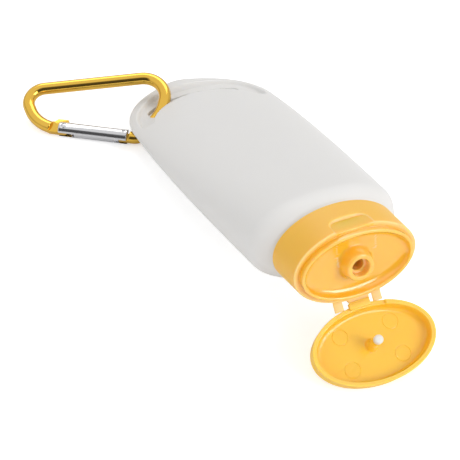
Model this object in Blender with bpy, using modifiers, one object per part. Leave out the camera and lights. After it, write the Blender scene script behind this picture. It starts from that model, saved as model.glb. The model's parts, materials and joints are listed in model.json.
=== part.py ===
"""Flat lotion bottle with a flip-top cap and a snap hook in its hang slot.

The bottle lies on its back. Its open lid and the thin edge of its tail touch the floor, z = 0,
and the origin is the middle of the whole object's footprint. +Y runs from the tail to the cap,
+X is the hook's side and +Z is up.
"""

import math

import bmesh
import bpy
from mathutils import Matrix, Vector

MM = 0.001

# Fits and clearances
SEAT_GAP = 0.3 * MM
PIN_CLEARANCE = 0.1 * MM
TONGUE_CLEARANCE = 0.15 * MM

# Cap: half sizes of its oval, measured from the rim plane between base and lid
CAP_HALF_WIDTH = 17.6 * MM
CAP_HALF_DEPTH = 11.0 * MM
SKIRT_HEIGHT = 12.8 * MM
SKIRT_FLARE = 0.35 * MM
CAP_WALL = 1.2 * MM
EDGE_ROUND = 0.35 * MM
LIP_HEIGHT = 1.8 * MM
LIP_WIDTH = 1.1 * MM
DECK_DROP = 0.5 * MM
DECK_WALL = 1.3 * MM
MOAT_RADIUS = 5.2 * MM
NOZZLE_HEIGHT = 2.9 * MM
NOZZLE_RADIUS = 3.5 * MM
NOZZLE_FOOT_RADIUS = 4.4 * MM
NOZZLE_BORE_RADIUS = 2.4 * MM
NOZZLE_BORE_DEPTH = 2.6 * MM
ORIFICE_RADIUS = 1.85 * MM
THUMB_HALF_WIDTH = 5.5 * MM
THUMB_HEIGHT = 5.2 * MM
THUMB_DEPTH = 0.7 * MM
THUMB_SQUARENESS = 3.0

# Lid, drawn closed on the base
LID_HEIGHT = 5.0 * MM
LID_FLOOR_DEPTH = 3.85 * MM
LID_DRAFT = 0.35 * MM
LID_EDGE_ROUND = 1.1 * MM
LID_PIN_LENGTH = 7.4 * MM
LID_PIN_RADIUS = 1.25 * MM
PIN_TIP_LENGTH = 1.7 * MM
PIN_TIP_ROUND = 0.4 * MM
PIN_SPIGOT_RADIUS = 0.6 * MM
PIN_SPIGOT_LENGTH = 1.0 * MM
EJECTOR_RADIUS = 2.1 * MM
EJECTOR_X = 7.4 * MM
EJECTOR_Z = 4.6 * MM
EJECTOR_DEPTH = 0.15 * MM

# Living hinge behind the rim
HINGE_SETBACK = 0.75 * MM
LID_OPEN_ANGLE = math.radians(135.2)
HINGE_TAB_HALF_WIDTH = 3.0 * MM
HINGE_TAB_THICKNESS = 1.2 * MM
STRAP_INNER_X = 4.3 * MM
STRAP_WIDTH = 2.5 * MM
STRAP_THICKNESS = 0.45 * MM
STRAP_END = 0.9 * MM
STRAP_BOW = 0.35 * MM

# Neck and the sleeve that presses over it
NECK_RADIUS = 7.3 * MM
NECK_WALL = 1.2 * MM
BEAD_HEIGHT = 0.5 * MM
BEAD_LENGTH = 1.4 * MM
SLEEVE_WALL = 0.9 * MM
SLEEVE_CATCH = 0.25 * MM
SLEEVE_LENGTH = 8.0 * MM
PLUG_WALL = 0.8 * MM
PLUG_LENGTH = 2.4 * MM
FLANGE_THICKNESS = 0.8 * MM

# Bottle body, from the cap's rim plane towards the tail
BODY_LENGTH = 131.3 * MM
SHOULDER_LENGTH = 8.2 * MM
SHOULDER_HALF_WIDTH = 21.7 * MM
BELLY_HALF_WIDTH = 24.1 * MM
BELLY_DISTANCE = 84.0 * MM
TAIL_DEPTH = 28.0 * MM
TAIL_HALF_WIDTH = 23.6 * MM
TAIL_SQUARENESS = 1.87
SHOULDER_HALF_THICKNESS = 11.6 * MM
TAIL_HALF_THICKNESS = 1.9 * MM
TAIL_ROUND = 1.8 * MM
BODY_SQUARENESS = 2.4
EDGE_SQUARENESS = 1.6
BODY_WALL = 1.0 * MM
HOLLOW_END_LENGTH = 41.0 * MM
HOLLOW_END_WALL = 2.4 * MM

# Hang tab: crescent recess, web and curved slot
RIM_SIDE_WIDTH = 2.1 * MM
RIM_END_WIDTH = 6.4 * MM
RECESS_SQUARENESS = 2.3
RECESS_NEAR_RADIUS = 17.6 * MM
RECESS_FROM_TAIL = 17.4 * MM
RECESS_LEAN = 0.35 * MM
WEB_THICKNESS = 1.4 * MM
SLOT_WIDTH = 6.2 * MM
SLOT_OFFSET = 0.35 * MM
SLOT_HALF_ANGLE = math.radians(50.0)

# Snap hook: corners of the rod's centre line, from nose to pivot, with the rivet at 0, 0. The
# reaches of nose, hip and crown count from the gate's end.
ROD_RADIUS = 1.93 * MM
NOSE_REACH = 3.2 * MM
NOSE_BEND = 2.6 * MM
HIP_REACH = 8.1 * MM
HIP_Y = 10.4 * MM
HIP_BEND = 12.0 * MM
CROWN_REACH = 7.8 * MM
CROWN_Y = 24.7 * MM
CROWN_BEND = 7.7 * MM
HEEL_X = -17.4 * MM
HEEL_Y = 12.4 * MM
HEEL_BEND = 5.0 * MM
TOE_X = -10.0 * MM
TOE_Y = 1.7 * MM
TOE_BEND = 7.3 * MM
TONGUE_START = 4.4 * MM
TONGUE_ROOT = 0.5 * MM
TONGUE_RADIUS = 1.9 * MM
EAR_START = 2.6 * MM
EAR_HEIGHT = 3.1 * MM
EAR_REACH = 0.7 * MM
TONGUE_THICKNESS = 1.5 * MM
HOOK_HEADING = math.radians(142.9)
HOOK_LEAN = math.radians(20.0)
SEAT_ANGLE = math.radians(37.7)
SEAT_INSET = 0.5 * MM

# Gate
GATE_RADIUS = 2.25 * MM
GATE_LENGTH = 21.1 * MM
GATE_EDGE = 0.3 * MM
GATE_OVERHANG = 2.1 * MM
PIVOT_SLOT_LENGTH = 3.7 * MM
LATCH_SLOT_LENGTH = 4.0 * MM
RIVET_RADIUS = 0.65 * MM
GATE_BORE_RADIUS = 1.15 * MM
GATE_BORE_LENGTH = 8.5 * MM
PUSHER_RADIUS = 0.7 * MM
PUSHER_LENGTH = 3.4 * MM
PUSHER_HEAD_RADIUS = 0.95 * MM
PUSHER_HEAD_LENGTH = 0.7 * MM
PUSHER_EDGE = 0.2 * MM
SPRING_RADIUS = 0.75 * MM
SPRING_WIRE_RADIUS = 0.15 * MM
SPRING_TURNS = 7
LATCH_PIN_RADIUS = 0.45 * MM
LATCH_PIN_INSET = 1.6 * MM
LATCH_PIN_Y = 0.7 * MM
NOSE_LIP_HEIGHT = 0.9 * MM
NOSE_TONGUE_LENGTH = 3.0 * MM

# Facets
RING_POINTS = 48
ROD_RESOLUTION = 3
FILLET_STEPS = 7
GATE_SIDES = 24
NOZZLE_SIDES = 32
PIN_SIDES = 16
COIL_POINTS = 8
SHARP_ANGLE = math.radians(35)
WELD_DISTANCE = 0.01 * MM
EMPTY_SIZE = 5 * MM

COLOURS = {
    "bottle": ((0.80, 0.79, 0.77), 0.42, 0.0),
    "cap_base": ((0.95, 0.55, 0.12), 0.38, 0.0),
    "cap_nozzle": ((0.95, 0.55, 0.12), 0.35, 0.0),
    "lid": ((0.96, 0.56, 0.11), 0.38, 0.0),
    "lid_pin_tip": ((0.88, 0.87, 0.84), 0.45, 0.0),
    "hinge_strap_left": ((0.90, 0.76, 0.30), 0.35, 0.0),
    "hinge_strap_right": ((0.90, 0.76, 0.30), 0.35, 0.0),
    "carabiner_hook": ((0.86, 0.58, 0.08), 0.22, 1.0),
    "carabiner_gate": ((0.70, 0.71, 0.73), 0.28, 1.0),
    "gate_rivet": ((0.62, 0.63, 0.65), 0.30, 1.0),
    "gate_spring": ((0.55, 0.56, 0.58), 0.35, 1.0),
    "gate_pusher": ((0.55, 0.56, 0.58), 0.35, 1.0),
    "gate_latch_pin": ((0.62, 0.63, 0.65), 0.30, 1.0),
}


# Scene, collections and helpers

def clear_scene():
    for obj in list(bpy.data.objects):
        bpy.data.objects.remove(obj, do_unlink=True)


def new_collection(name):
    collection = bpy.data.collections.new(name)
    bpy.context.scene.collection.children.link(collection)
    return collection


def new_empty(name, parent=None):
    empty = bpy.data.objects.new(name, None)
    empty.empty_display_size = EMPTY_SIZE
    PARTS.objects.link(empty)
    empty.parent = parent
    return empty


def material(name):
    colour, roughness, metallic = COLOURS[name]
    mat = bpy.data.materials.new(name)
    mat.use_nodes = True
    shader = mat.node_tree.nodes["Principled BSDF"]
    shader.inputs["Base Color"].default_value = (*colour, 1.0)
    shader.inputs["Roughness"].default_value = roughness
    shader.inputs["Metallic"].default_value = metallic
    mat.diffuse_color = (*colour, 1.0)
    return mat


def add_part(name, mesh, parent):
    obj = bpy.data.objects.new(name, mesh)
    mesh.materials.clear()
    mesh.materials.append(material(name))
    mesh.shade_smooth()
    mesh.set_sharp_from_angle(angle=SHARP_ANGLE)
    PARTS.objects.link(obj)
    obj.parent = parent
    return obj


def add_turned(name, profile, sides, parent):
    """A turned part: its (radius, height) profile, down the outer side, spun about its own Z.

    A profile that ends at its first point makes a ring, and any other ends on the axis.
    """
    mesh = bpy.data.meshes.new(name)
    points = profile[:-1] if profile[-1] == profile[0] else profile
    mesh.from_pydata([(radius, 0, height) for radius, height in points],
                     [(i, (i + 1) % len(points)) for i in range(len(profile) - 1)], [])
    obj = add_part(name, mesh, parent)
    spin = obj.modifiers.new("spin", "SCREW")
    spin.steps = sides
    spin.render_steps = sides
    spin.use_merge_vertices = True
    spin.merge_threshold = WELD_DISTANCE
    return obj


def add_cutter(name, mesh, parent):
    obj = bpy.data.objects.new(name, mesh)
    obj.display_type = "WIRE"
    obj.hide_render = True
    CUTTERS.objects.link(obj)
    obj.parent = parent
    return obj


def boolean(obj, other, operation):
    modifier = obj.modifiers.new(operation.lower() + "_" + other.name, "BOOLEAN")
    modifier.operation = operation
    modifier.object = other


def mesh_from_bmesh(name, bm):
    bmesh.ops.recalc_face_normals(bm, faces=bm.faces)
    mesh = bpy.data.meshes.new(name)
    bm.to_mesh(mesh)
    bm.free()
    return mesh


def ring(half_x, half_z, y, squareness=2.0):
    """Points of a superellipse in the plane at y; squareness 2 is a true ellipse."""
    points = []
    power = 2.0 / squareness
    for i in range(RING_POINTS):
        angle = 2 * math.pi * i / RING_POINTS
        c, s = math.cos(angle), math.sin(angle)
        points.append(Vector((math.copysign(abs(c) ** power, c) * half_x, y,
                              math.copysign(abs(s) ** power, s) * half_z)))
    return points


def loft(name, rings, closed=False):
    """A skin through rings of equal count, joined end to end or capped with flat faces."""
    bm = bmesh.new()
    loops = [[bm.verts.new(point) for point in points] for points in rings]
    pairs = list(zip(loops, loops[1:]))
    if closed:
        pairs.append((loops[-1], loops[0]))
    for low, high in pairs:
        for i in range(len(low)):
            j = (i + 1) % len(low)
            bm.faces.new((low[i], low[j], high[j], high[i]))
    if not closed:
        bm.faces.new(loops[0])
        bm.faces.new(list(reversed(loops[-1])))
    return mesh_from_bmesh(name, bm)


def plate(name, outline, thickness):
    """A flat outline in x, y, extruded evenly to both sides of z = 0."""
    curve = bpy.data.curves.new(name, "CURVE")
    curve.dimensions = "2D"
    curve.fill_mode = "BOTH"
    curve.extrude = thickness / 2
    spline = curve.splines.new("POLY")
    spline.points.add(len(outline) - 1)
    for point, (x, y) in zip(spline.points, outline):
        point.co = (x, y, 0, 1)
    spline.use_cyclic_u = True
    return mesh_from_curve(name, curve)


def mesh_from_curve(name, curve):
    """The curve's evaluated mesh with its loose caps welded."""
    obj = bpy.data.objects.new(name + "_curve", curve)
    bpy.context.scene.collection.objects.link(obj)
    depsgraph = bpy.context.evaluated_depsgraph_get()
    mesh = bpy.data.meshes.new_from_object(obj.evaluated_get(depsgraph))
    bpy.data.objects.remove(obj, do_unlink=True)
    bm = bmesh.new()
    bm.from_mesh(mesh)
    bmesh.ops.remove_doubles(bm, verts=bm.verts, dist=WELD_DISTANCE)
    bmesh.ops.recalc_face_normals(bm, faces=bm.faces)
    bm.to_mesh(mesh)
    bm.free()
    return mesh


def tube(name, points, radius, resolution):
    curve = bpy.data.curves.new(name, "CURVE")
    curve.dimensions = "3D"
    curve.bevel_depth = radius
    curve.bevel_resolution = resolution
    curve.use_fill_caps = True
    spline = curve.splines.new("POLY")
    spline.points.add(len(points) - 1)
    for point, co in zip(spline.points, points):
        point.co = (*co, 1)
    return mesh_from_curve(name, curve)


def cylinder(name, radius, start, end):
    """A straight round bar between two points."""
    start, end = Vector(start), Vector(end)
    axis = end - start
    turn = Vector((0, 0, 1)).rotation_difference(axis).to_matrix().to_4x4()
    turn = turn @ Matrix.Rotation(math.pi / PIN_SIDES, 4, "Z")
    bm = bmesh.new()
    bmesh.ops.create_cone(bm, cap_ends=True, segments=PIN_SIDES, radius1=radius, radius2=radius,
                          depth=axis.length, matrix=Matrix.Translation((start + end) / 2) @ turn)
    return mesh_from_bmesh(name, bm)


def box(name, low, high):
    low, high = Vector(low), Vector(high)
    bm = bmesh.new()
    bmesh.ops.create_cube(bm, size=1.0, matrix=Matrix.Translation((low + high) / 2)
                          @ Matrix.Diagonal((*(high - low), 1)))
    return mesh_from_bmesh(name, bm)


def filleted(corners):
    """A path through (x, y, bend radius) corners; the first and last are plain ends."""
    path = [Vector(corners[0][:2])]
    for before, corner, after in zip(corners, corners[1:], corners[2:]):
        here = Vector(corner[:2])
        into = (here - Vector(before[:2])).normalized()
        out = (Vector(after[:2]) - here).normalized()
        turn = into.angle_signed(out)
        cut = corner[2] * math.tan(abs(turn) / 2)
        side = -math.copysign(1, turn)
        centre = here - into * cut + Vector((-into.y, into.x)) * side * corner[2]
        start = here - into * cut - centre
        for step in range(FILLET_STEPS + 1):
            angle = side * abs(turn) * step / FILLET_STEPS
            path.append(centre + Matrix.Rotation(angle, 2) @ start)
    path.append(Vector(corners[-1][:2]))
    return path


def arc(centre, radius, start, end, steps):
    return [(centre[0] + radius * math.cos(start + (end - start) * i / steps),
             centre[1] + radius * math.sin(start + (end - start) * i / steps))
            for i in range(steps + 1)]


# Cap

def oval(inset, y):
    """A ring that lies inside the cap's oval by inset."""
    return ring(CAP_HALF_WIDTH - inset, CAP_HALF_DEPTH - inset, y)


def disc(radius, y):
    return ring(radius, radius, y)


def make_cap_base():
    lip_outer = CAP_WALL + SEAT_GAP
    lip_inner = lip_outer + LIP_WIDTH
    deck_under = -DECK_DROP - DECK_WALL
    bead_radius = NECK_RADIUS + BEAD_HEIGHT
    sleeve_inner = bead_radius + SEAT_GAP
    sleeve_outer = sleeve_inner + SLEEVE_WALL
    catch_y = NECK_TOP - BEAD_START - BEAD_LENGTH - SEAT_GAP
    sleeve_end = deck_under - SLEEVE_LENGTH
    rings = [
        oval(-SKIRT_FLARE, -SKIRT_HEIGHT),
        oval(0, -EDGE_ROUND),
        oval(EDGE_ROUND * 0.3, -EDGE_ROUND * 0.3),
        oval(EDGE_ROUND, 0),
        oval(lip_outer, 0),
        oval(lip_outer, LIP_HEIGHT - EDGE_ROUND),
        oval(lip_outer + EDGE_ROUND, LIP_HEIGHT),
        oval(lip_inner - EDGE_ROUND, LIP_HEIGHT),
        oval(lip_inner, LIP_HEIGHT - EDGE_ROUND),
        oval(lip_inner + 0.5 * MM, 0),
        ring(CAP_HALF_WIDTH * 0.6, MOAT_RADIUS + 1.0 * MM, -DECK_DROP * 0.7),
        disc(MOAT_RADIUS, -DECK_DROP),
        disc(NOZZLE_FOOT_RADIUS + SEAT_GAP, -DECK_DROP),
        disc(NOZZLE_FOOT_RADIUS + SEAT_GAP, deck_under),
        disc(sleeve_inner, deck_under),
        disc(sleeve_inner, catch_y),
        disc(NECK_RADIUS + SLEEVE_CATCH, catch_y - SLEEVE_CATCH),
        disc(NECK_RADIUS + SLEEVE_CATCH, catch_y - 2 * SLEEVE_CATCH),
        disc(sleeve_inner, catch_y - 5 * SLEEVE_CATCH),
        disc(sleeve_inner, sleeve_end),
        disc(sleeve_outer, sleeve_end),
        disc(sleeve_outer, deck_under),
        oval(CAP_WALL + 0.2 * MM, deck_under),
        oval(CAP_WALL - SKIRT_FLARE, -SKIRT_HEIGHT),
    ]
    cap = add_part("cap_base", loft("cap_base", rings, closed=True), TUBE)
    tab = add_cutter("base_tab", hinge_tab("base_tab", -1), TUBE)
    boolean(cap, tab, "UNION")
    boolean(cap, make_thumb_cutter(), "DIFFERENCE")
    return cap


def make_nozzle():
    """The orifice plug: a nozzle through the deck, on a flange and a skirt that seal the neck."""
    top = NOZZLE_HEIGHT
    orifice_top = top - NOZZLE_BORE_DEPTH
    flange_top = -DECK_DROP - DECK_WALL - SEAT_GAP
    flange_under = flange_top - FLANGE_THICKNESS
    skirt_end = flange_top - PLUG_LENGTH
    plug_radius = NECK_RADIUS - NECK_WALL - SEAT_GAP
    profile = [
        (NOZZLE_RADIUS - 0.6 * MM, top),
        (NOZZLE_RADIUS - 0.25 * MM, top - 0.35 * MM),
        (NOZZLE_RADIUS, top - 1.2 * MM),
        (NOZZLE_FOOT_RADIUS, -DECK_DROP),
        (NOZZLE_FOOT_RADIUS, flange_top),
        (plug_radius, flange_top),
        (plug_radius, flange_under),
        (plug_radius - 0.3 * MM, skirt_end),
        (plug_radius - PLUG_WALL, skirt_end),
        (plug_radius - PLUG_WALL, flange_under),
        (ORIFICE_RADIUS, flange_under),
        (ORIFICE_RADIUS, orifice_top - 0.2 * MM),
        (NOZZLE_BORE_RADIUS - 0.1 * MM, orifice_top + 0.2 * MM),
        (NOZZLE_BORE_RADIUS, top - 0.3 * MM),
    ]
    nozzle = add_turned("cap_nozzle", profile + profile[:1], NOZZLE_SIDES, TUBE)
    nozzle.rotation_euler = (-math.pi / 2, 0, 0)
    return nozzle


def hinge_tab(name, side):
    """Half of the living hinge: a short tab from the rim's back to beside the fold line."""
    fold = SEAT_GAP / 2
    near = side * fold
    far = side * (fold + HINGE_TAB_THICKNESS)
    back = -(CAP_HALF_DEPTH + HINGE_SETBACK)
    front = -(CAP_HALF_DEPTH - CAP_WALL * 0.8)
    return box(name, (-HINGE_TAB_HALF_WIDTH, min(near, far), back),
               (HINGE_TAB_HALF_WIDTH, max(near, far), front))


def make_thumb_cutter():
    """A flat-floored scoop in the front of the skirt, open at the rim."""
    reach = 4 * MM
    power = 2 / THUMB_SQUARENESS
    arch = [(-THUMB_HALF_WIDTH, EDGE_ROUND * 3)]
    for i in range(15):
        angle = math.pi * (1 - i / 14)
        arch.append((THUMB_HALF_WIDTH * math.copysign(abs(math.cos(angle)) ** power, math.cos(angle)),
                     -THUMB_HEIGHT * math.sin(angle) ** power))
    arch.append((THUMB_HALF_WIDTH, EDGE_ROUND * 3))
    cutter = add_cutter("thumb_scoop", plate("thumb_scoop", arch, reach), TUBE)
    cutter.location = (0, 0, CAP_HALF_DEPTH - THUMB_DEPTH + reach / 2)
    return cutter


def lid_oval(inset, y):
    """A ring of the lid's oval, which draws in with its draft above the rim."""
    draft = LID_DRAFT * max(y, 0) / LID_HEIGHT
    return oval(inset + draft, y)


def make_lid():
    rim = SEAT_GAP
    top = LID_HEIGHT
    floor = LID_FLOOR_DEPTH
    spigot_base = floor - LID_PIN_LENGTH + PIN_TIP_LENGTH
    fillet = 0.6 * MM
    rings = [lid_oval(LID_EDGE_ROUND * 1.6, top)]
    for i in range(4):
        angle = math.pi / 2 * i / 3
        inset = LID_EDGE_ROUND * (1 - math.sin(angle))
        rings.append(lid_oval(inset, top - LID_EDGE_ROUND * (1 - math.cos(angle))))
    rings += [
        lid_oval(0, rim + EDGE_ROUND),
        lid_oval(EDGE_ROUND, rim),
        lid_oval(CAP_WALL - EDGE_ROUND / 2, rim),
        lid_oval(CAP_WALL, rim + EDGE_ROUND / 2),
        lid_oval(CAP_WALL, floor - fillet),
        lid_oval(CAP_WALL + fillet * 0.3, floor - fillet * 0.3),
        lid_oval(CAP_WALL + fillet, floor),
        disc(LID_PIN_RADIUS + 0.6 * MM, floor),
        disc(LID_PIN_RADIUS + 0.15 * MM, floor - 0.5 * MM),
        disc(LID_PIN_RADIUS, floor - 1.2 * MM),
        disc(LID_PIN_RADIUS, spigot_base),
        disc(PIN_SPIGOT_RADIUS, spigot_base),
        disc(PIN_SPIGOT_RADIUS, spigot_base - PIN_SPIGOT_LENGTH),
    ]
    mesh = loft("lid", rings)
    mesh.transform(Matrix.Translation((0, 0, -HINGE_Z)))
    lid = add_part("lid", mesh, LID_HINGE)
    tab_mesh = hinge_tab("lid_tab", 1)
    tab_mesh.transform(Matrix.Translation((0, 0, -HINGE_Z)))
    boolean(lid, add_cutter("lid_tab", tab_mesh, LID_HINGE), "UNION")
    boolean(lid, add_cutter("ejector_marks", ejector_marks(), LID_HINGE), "DIFFERENCE")
    return lid


def ejector_marks():
    """Four shallow round marks that the mould's pins leave in the lid's floor."""
    bm = bmesh.new()
    for x in (-EJECTOR_X, EJECTOR_X):
        for z in (-EJECTOR_Z, EJECTOR_Z):
            place = Matrix.Translation((x, LID_FLOOR_DEPTH, z - HINGE_Z))
            place = place @ Matrix.Rotation(math.pi / 2, 4, "X")
            bmesh.ops.create_cone(bm, cap_ends=True, segments=PIN_SIDES, radius1=EJECTOR_RADIUS,
                                  radius2=EJECTOR_RADIUS, depth=2 * EJECTOR_DEPTH, matrix=place)
    return mesh_from_bmesh("ejector_marks", bm)


def make_pin_tip():
    """A soft cap over the pin's spigot, a blind sleeve with a rounded nose."""
    top = LID_FLOOR_DEPTH - LID_PIN_LENGTH + PIN_TIP_LENGTH - PIN_CLEARANCE
    bore = PIN_SPIGOT_RADIUS + PIN_CLEARANCE
    bore_end = top - PIN_SPIGOT_LENGTH - PIN_CLEARANCE
    nose = LID_FLOOR_DEPTH - LID_PIN_LENGTH
    profile = [(0, bore_end), (bore, bore_end), (bore, top), (LID_PIN_RADIUS, top)]
    for i in range(4):
        angle = math.pi / 2 * i / 3
        profile.append((LID_PIN_RADIUS - PIN_TIP_ROUND * (1 - math.cos(angle)),
                        nose + PIN_TIP_ROUND * (1 - math.sin(angle))))
    profile.append((0, nose))
    tip = add_turned("lid_pin_tip", profile, PIN_SIDES, LID_HINGE)
    tip.location = (0, 0, -HINGE_Z)
    tip.rotation_euler = (-math.pi / 2, 0, 0)
    return tip


def rim_back(x):
    """Distance of the oval's back edge behind the cap's middle, at x."""
    return CAP_HALF_DEPTH * math.sqrt(1 - (x / CAP_HALF_WIDTH) ** 2)


def make_straps():
    """Two thin bands beside the tabs, from the base's rim to the lid's, bowed outwards."""
    turn = Matrix.Rotation(-LID_OPEN_ANGLE, 4, "X")
    for name, side in (("hinge_strap_left", 1), ("hinge_strap_right", -1)):
        inner = STRAP_INNER_X
        outer = STRAP_INNER_X + STRAP_WIDTH
        middle = (inner + outer) / 2
        back = rim_back(inner)
        behind = -back - SEAT_GAP - STRAP_THICKNESS / 2
        base_end = Vector((0, -STRAP_END, behind))
        lid_local = Vector((0, STRAP_END, behind - HINGE_Z))
        lid_end = turn @ lid_local + Vector((0, 0, HINGE_Z))
        chord = lid_end - base_end
        outward = Vector((0, -chord.z, chord.y)).normalized()
        if outward.z > 0:
            outward.negate()
        half = STRAP_THICKNESS / 2
        inside, outside = [], []
        for i in range(7):
            t = i / 6
            centre = base_end + chord * t + outward * STRAP_BOW * math.sin(math.pi * t)
            inside.append((centre.y - outward.y * half, centre.z - outward.z * half))
            outside.append((centre.y + outward.y * half, centre.z + outward.z * half))
        mesh = plate(name, inside + outside[::-1], STRAP_WIDTH)
        stand = Matrix(((0, 0, 1, side * middle), (1, 0, 0, 0), (0, 1, 0, 0), (0, 0, 0, 1)))
        mesh.transform(stand)
        add_part(name, mesh, TUBE)


# Bottle

def body_half_width(y):
    """Half width of the outline at y, from the shoulder to the round end of the tail."""
    along = -y
    shoulder_end = BODY_START + SHOULDER_LENGTH
    tail_start = BODY_LENGTH - TAIL_DEPTH
    if along <= shoulder_end:
        t = (along - BODY_START) / SHOULDER_LENGTH
        start = CAP_HALF_WIDTH - CAP_WALL
        return start + (SHOULDER_HALF_WIDTH - start) * math.sin(math.pi / 2 * t) ** 0.9
    if along <= BELLY_DISTANCE:
        t = (along - shoulder_end) / (BELLY_DISTANCE - shoulder_end)
        return SHOULDER_HALF_WIDTH + (BELLY_HALF_WIDTH - SHOULDER_HALF_WIDTH) * math.sin(math.pi / 2 * t)
    if along <= tail_start:
        t = (along - BELLY_DISTANCE) / (tail_start - BELLY_DISTANCE)
        return BELLY_HALF_WIDTH + (TAIL_HALF_WIDTH - BELLY_HALF_WIDTH) * t * t
    t = min((along - tail_start) / TAIL_DEPTH, 1.0)
    return TAIL_HALF_WIDTH * (1 - t ** TAIL_SQUARENESS) ** (1 / TAIL_SQUARENESS)


def body_half_thickness(y):
    """Half thickness at y: flush with the cap, then an even taper to the tail's round edge."""
    along = -y
    shoulder_end = BODY_START + SHOULDER_LENGTH
    if along <= shoulder_end:
        t = (along - BODY_START) / SHOULDER_LENGTH
        start = CAP_HALF_DEPTH - CAP_WALL
        return start + (SHOULDER_HALF_THICKNESS - start) * math.sin(math.pi / 2 * t) ** 0.9
    t = (along - shoulder_end) / (BODY_LENGTH - shoulder_end)
    taper = SHOULDER_HALF_THICKNESS + (TAIL_HALF_THICKNESS - SHOULDER_HALF_THICKNESS) * t
    left = BODY_LENGTH - along
    if left >= TAIL_ROUND:
        return taper
    return taper * math.sqrt(max(1 - (1 - left / TAIL_ROUND) ** 2, 0))


def body_squareness(y):
    t = min(max((-y - BODY_START) / (BODY_LENGTH - BODY_START), 0), 1)
    return BODY_SQUARENESS + (EDGE_SQUARENESS - BODY_SQUARENESS) * t ** 3


def outer_ring(y):
    return ring(body_half_width(y), body_half_thickness(y), y, body_squareness(y))


def hollow_end():
    return -(BODY_LENGTH - RECESS_FROM_TAIL - HOLLOW_END_WALL)


def cavity_ring(y):
    """The hollow: the outline less the wall, drawn in to a round end before the recess."""
    start = hollow_end() + HOLLOW_END_LENGTH
    width = body_half_width(y) - BODY_WALL
    thickness = body_half_thickness(y) - BODY_WALL
    if y < start:
        t = min((start - y) / HOLLOW_END_LENGTH, 1.0)
        width = (body_half_width(start) - BODY_WALL) * math.sqrt(max(1 - t * t, 0.0))
        thickness *= math.sqrt(max(1 - t ** 6, 0.0))
    return ring(width, thickness, y, body_squareness(y))


def steps(first, last, count):
    return [first + (last - first) * i / (count - 1) for i in range(count)]


def make_bottle():
    bead_top = NECK_TOP - BEAD_START
    bore = NECK_RADIUS - NECK_WALL
    shoulder_end = -(BODY_START + SHOULDER_LENGTH)
    tail_start = -(BODY_LENGTH - TAIL_DEPTH)
    roof = -(BODY_START + BODY_WALL)
    inner = [cavity_ring(hollow_end() + HOLLOW_END_LENGTH * s)
             for s in (0.003, 0.025, 0.07, 0.14, 0.25, 0.4, 0.6)]
    inner += [cavity_ring(y) for y in steps(hollow_end() + HOLLOW_END_LENGTH, shoulder_end, 5)]
    inner += [cavity_ring(roof - (SHOULDER_LENGTH - BODY_WALL) * s) for s in (0.6, 0.3, 0.1)]
    inner += [disc(bore + 0.8 * MM, roof), disc(bore, roof + 0.8 * MM), disc(bore, NECK_TOP)]
    outer = [
        disc(NECK_RADIUS - 0.3 * MM, NECK_TOP),
        disc(NECK_RADIUS, NECK_TOP - 0.3 * MM),
        disc(NECK_RADIUS, bead_top),
        disc(NECK_RADIUS + BEAD_HEIGHT, bead_top - BEAD_LENGTH * 0.6),
        disc(NECK_RADIUS + BEAD_HEIGHT, bead_top - BEAD_LENGTH * 0.8),
        disc(NECK_RADIUS, bead_top - BEAD_LENGTH),
        disc(NECK_RADIUS, -BODY_START + 0.6 * MM),
        disc(NECK_RADIUS + 0.6 * MM, -BODY_START),
    ]
    outer += [outer_ring(-BODY_START - SHOULDER_LENGTH * s) for s in (0.0, 0.07, 0.18, 0.34, 0.55, 0.78)]
    outer += [outer_ring(y) for y in steps(shoulder_end, -BELLY_DISTANCE, 6)]
    outer += [outer_ring(y) for y in steps(-BELLY_DISTANCE, tail_start, 3)[1:]]
    outer += [outer_ring(tail_start - TAIL_DEPTH * s)
              for s in (0.14, 0.28, 0.41, 0.53, 0.64, 0.74, 0.83, 0.9, 0.95, 0.98, 0.995)]
    bottle = add_part("bottle", loft("bottle", inner + outer), TUBE)
    for side in (-1, 1):
        boolean(bottle, make_recess_cutter(side), "DIFFERENCE")
    boolean(bottle, make_slot_cutter(), "DIFFERENCE")
    return bottle


def recess_centre_y():
    return -(BODY_LENGTH - RECESS_FROM_TAIL - RECESS_NEAR_RADIUS)


def recess_outline(lean):
    """A crescent between the tail's rim and an arc round the end of the hollow, drawn in by lean."""
    half_width = TAIL_HALF_WIDTH - RIM_SIDE_WIDTH
    depth = TAIL_DEPTH - RIM_END_WIDTH
    start_y = -(BODY_LENGTH - TAIL_DEPTH)
    power = 2 / RECESS_SQUARENESS
    outline = []
    for i in range(25):
        c, s = math.cos(math.pi * i / 24), math.sin(math.pi * i / 24)
        outline.append((half_width * math.copysign(abs(c) ** power, c),
                        start_y - depth * abs(s) ** power))
    radius = RECESS_NEAR_RADIUS - lean
    drop = recess_centre_y() - start_y
    tip_angle = math.asin(min(drop / radius, 1.0))
    outline += arc((0, recess_centre_y()), radius, math.pi + tip_angle, 2 * math.pi - tip_angle, 22)
    return outline


def make_recess_cutter(side):
    """The recess: upright at the rim, its wall on the hollow's side leaning back as it rises."""
    name = "recess_front" if side > 0 else "recess_back"
    low = WEB_THICKNESS / 2
    high = body_half_thickness(hollow_end())
    levels = [(low, 0.0), (low + (high - low) * 0.45, RECESS_LEAN * 0.25), (high, RECESS_LEAN),
              (high + RECESS_LEAN, 2 * RECESS_LEAN)]
    rings = [[Vector((x, y, side * z)) for x, y in recess_outline(lean)] for z, lean in levels]
    return add_cutter(name, loft(name, rings), TUBE)


def slot_centre_radius():
    return RECESS_NEAR_RADIUS + SLOT_OFFSET + SLOT_WIDTH / 2


def slot_point(angle, radius):
    """A point of the slot's arc, at an angle to the bottle's axis."""
    return (radius * math.sin(angle), recess_centre_y() - radius * math.cos(angle))


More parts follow.
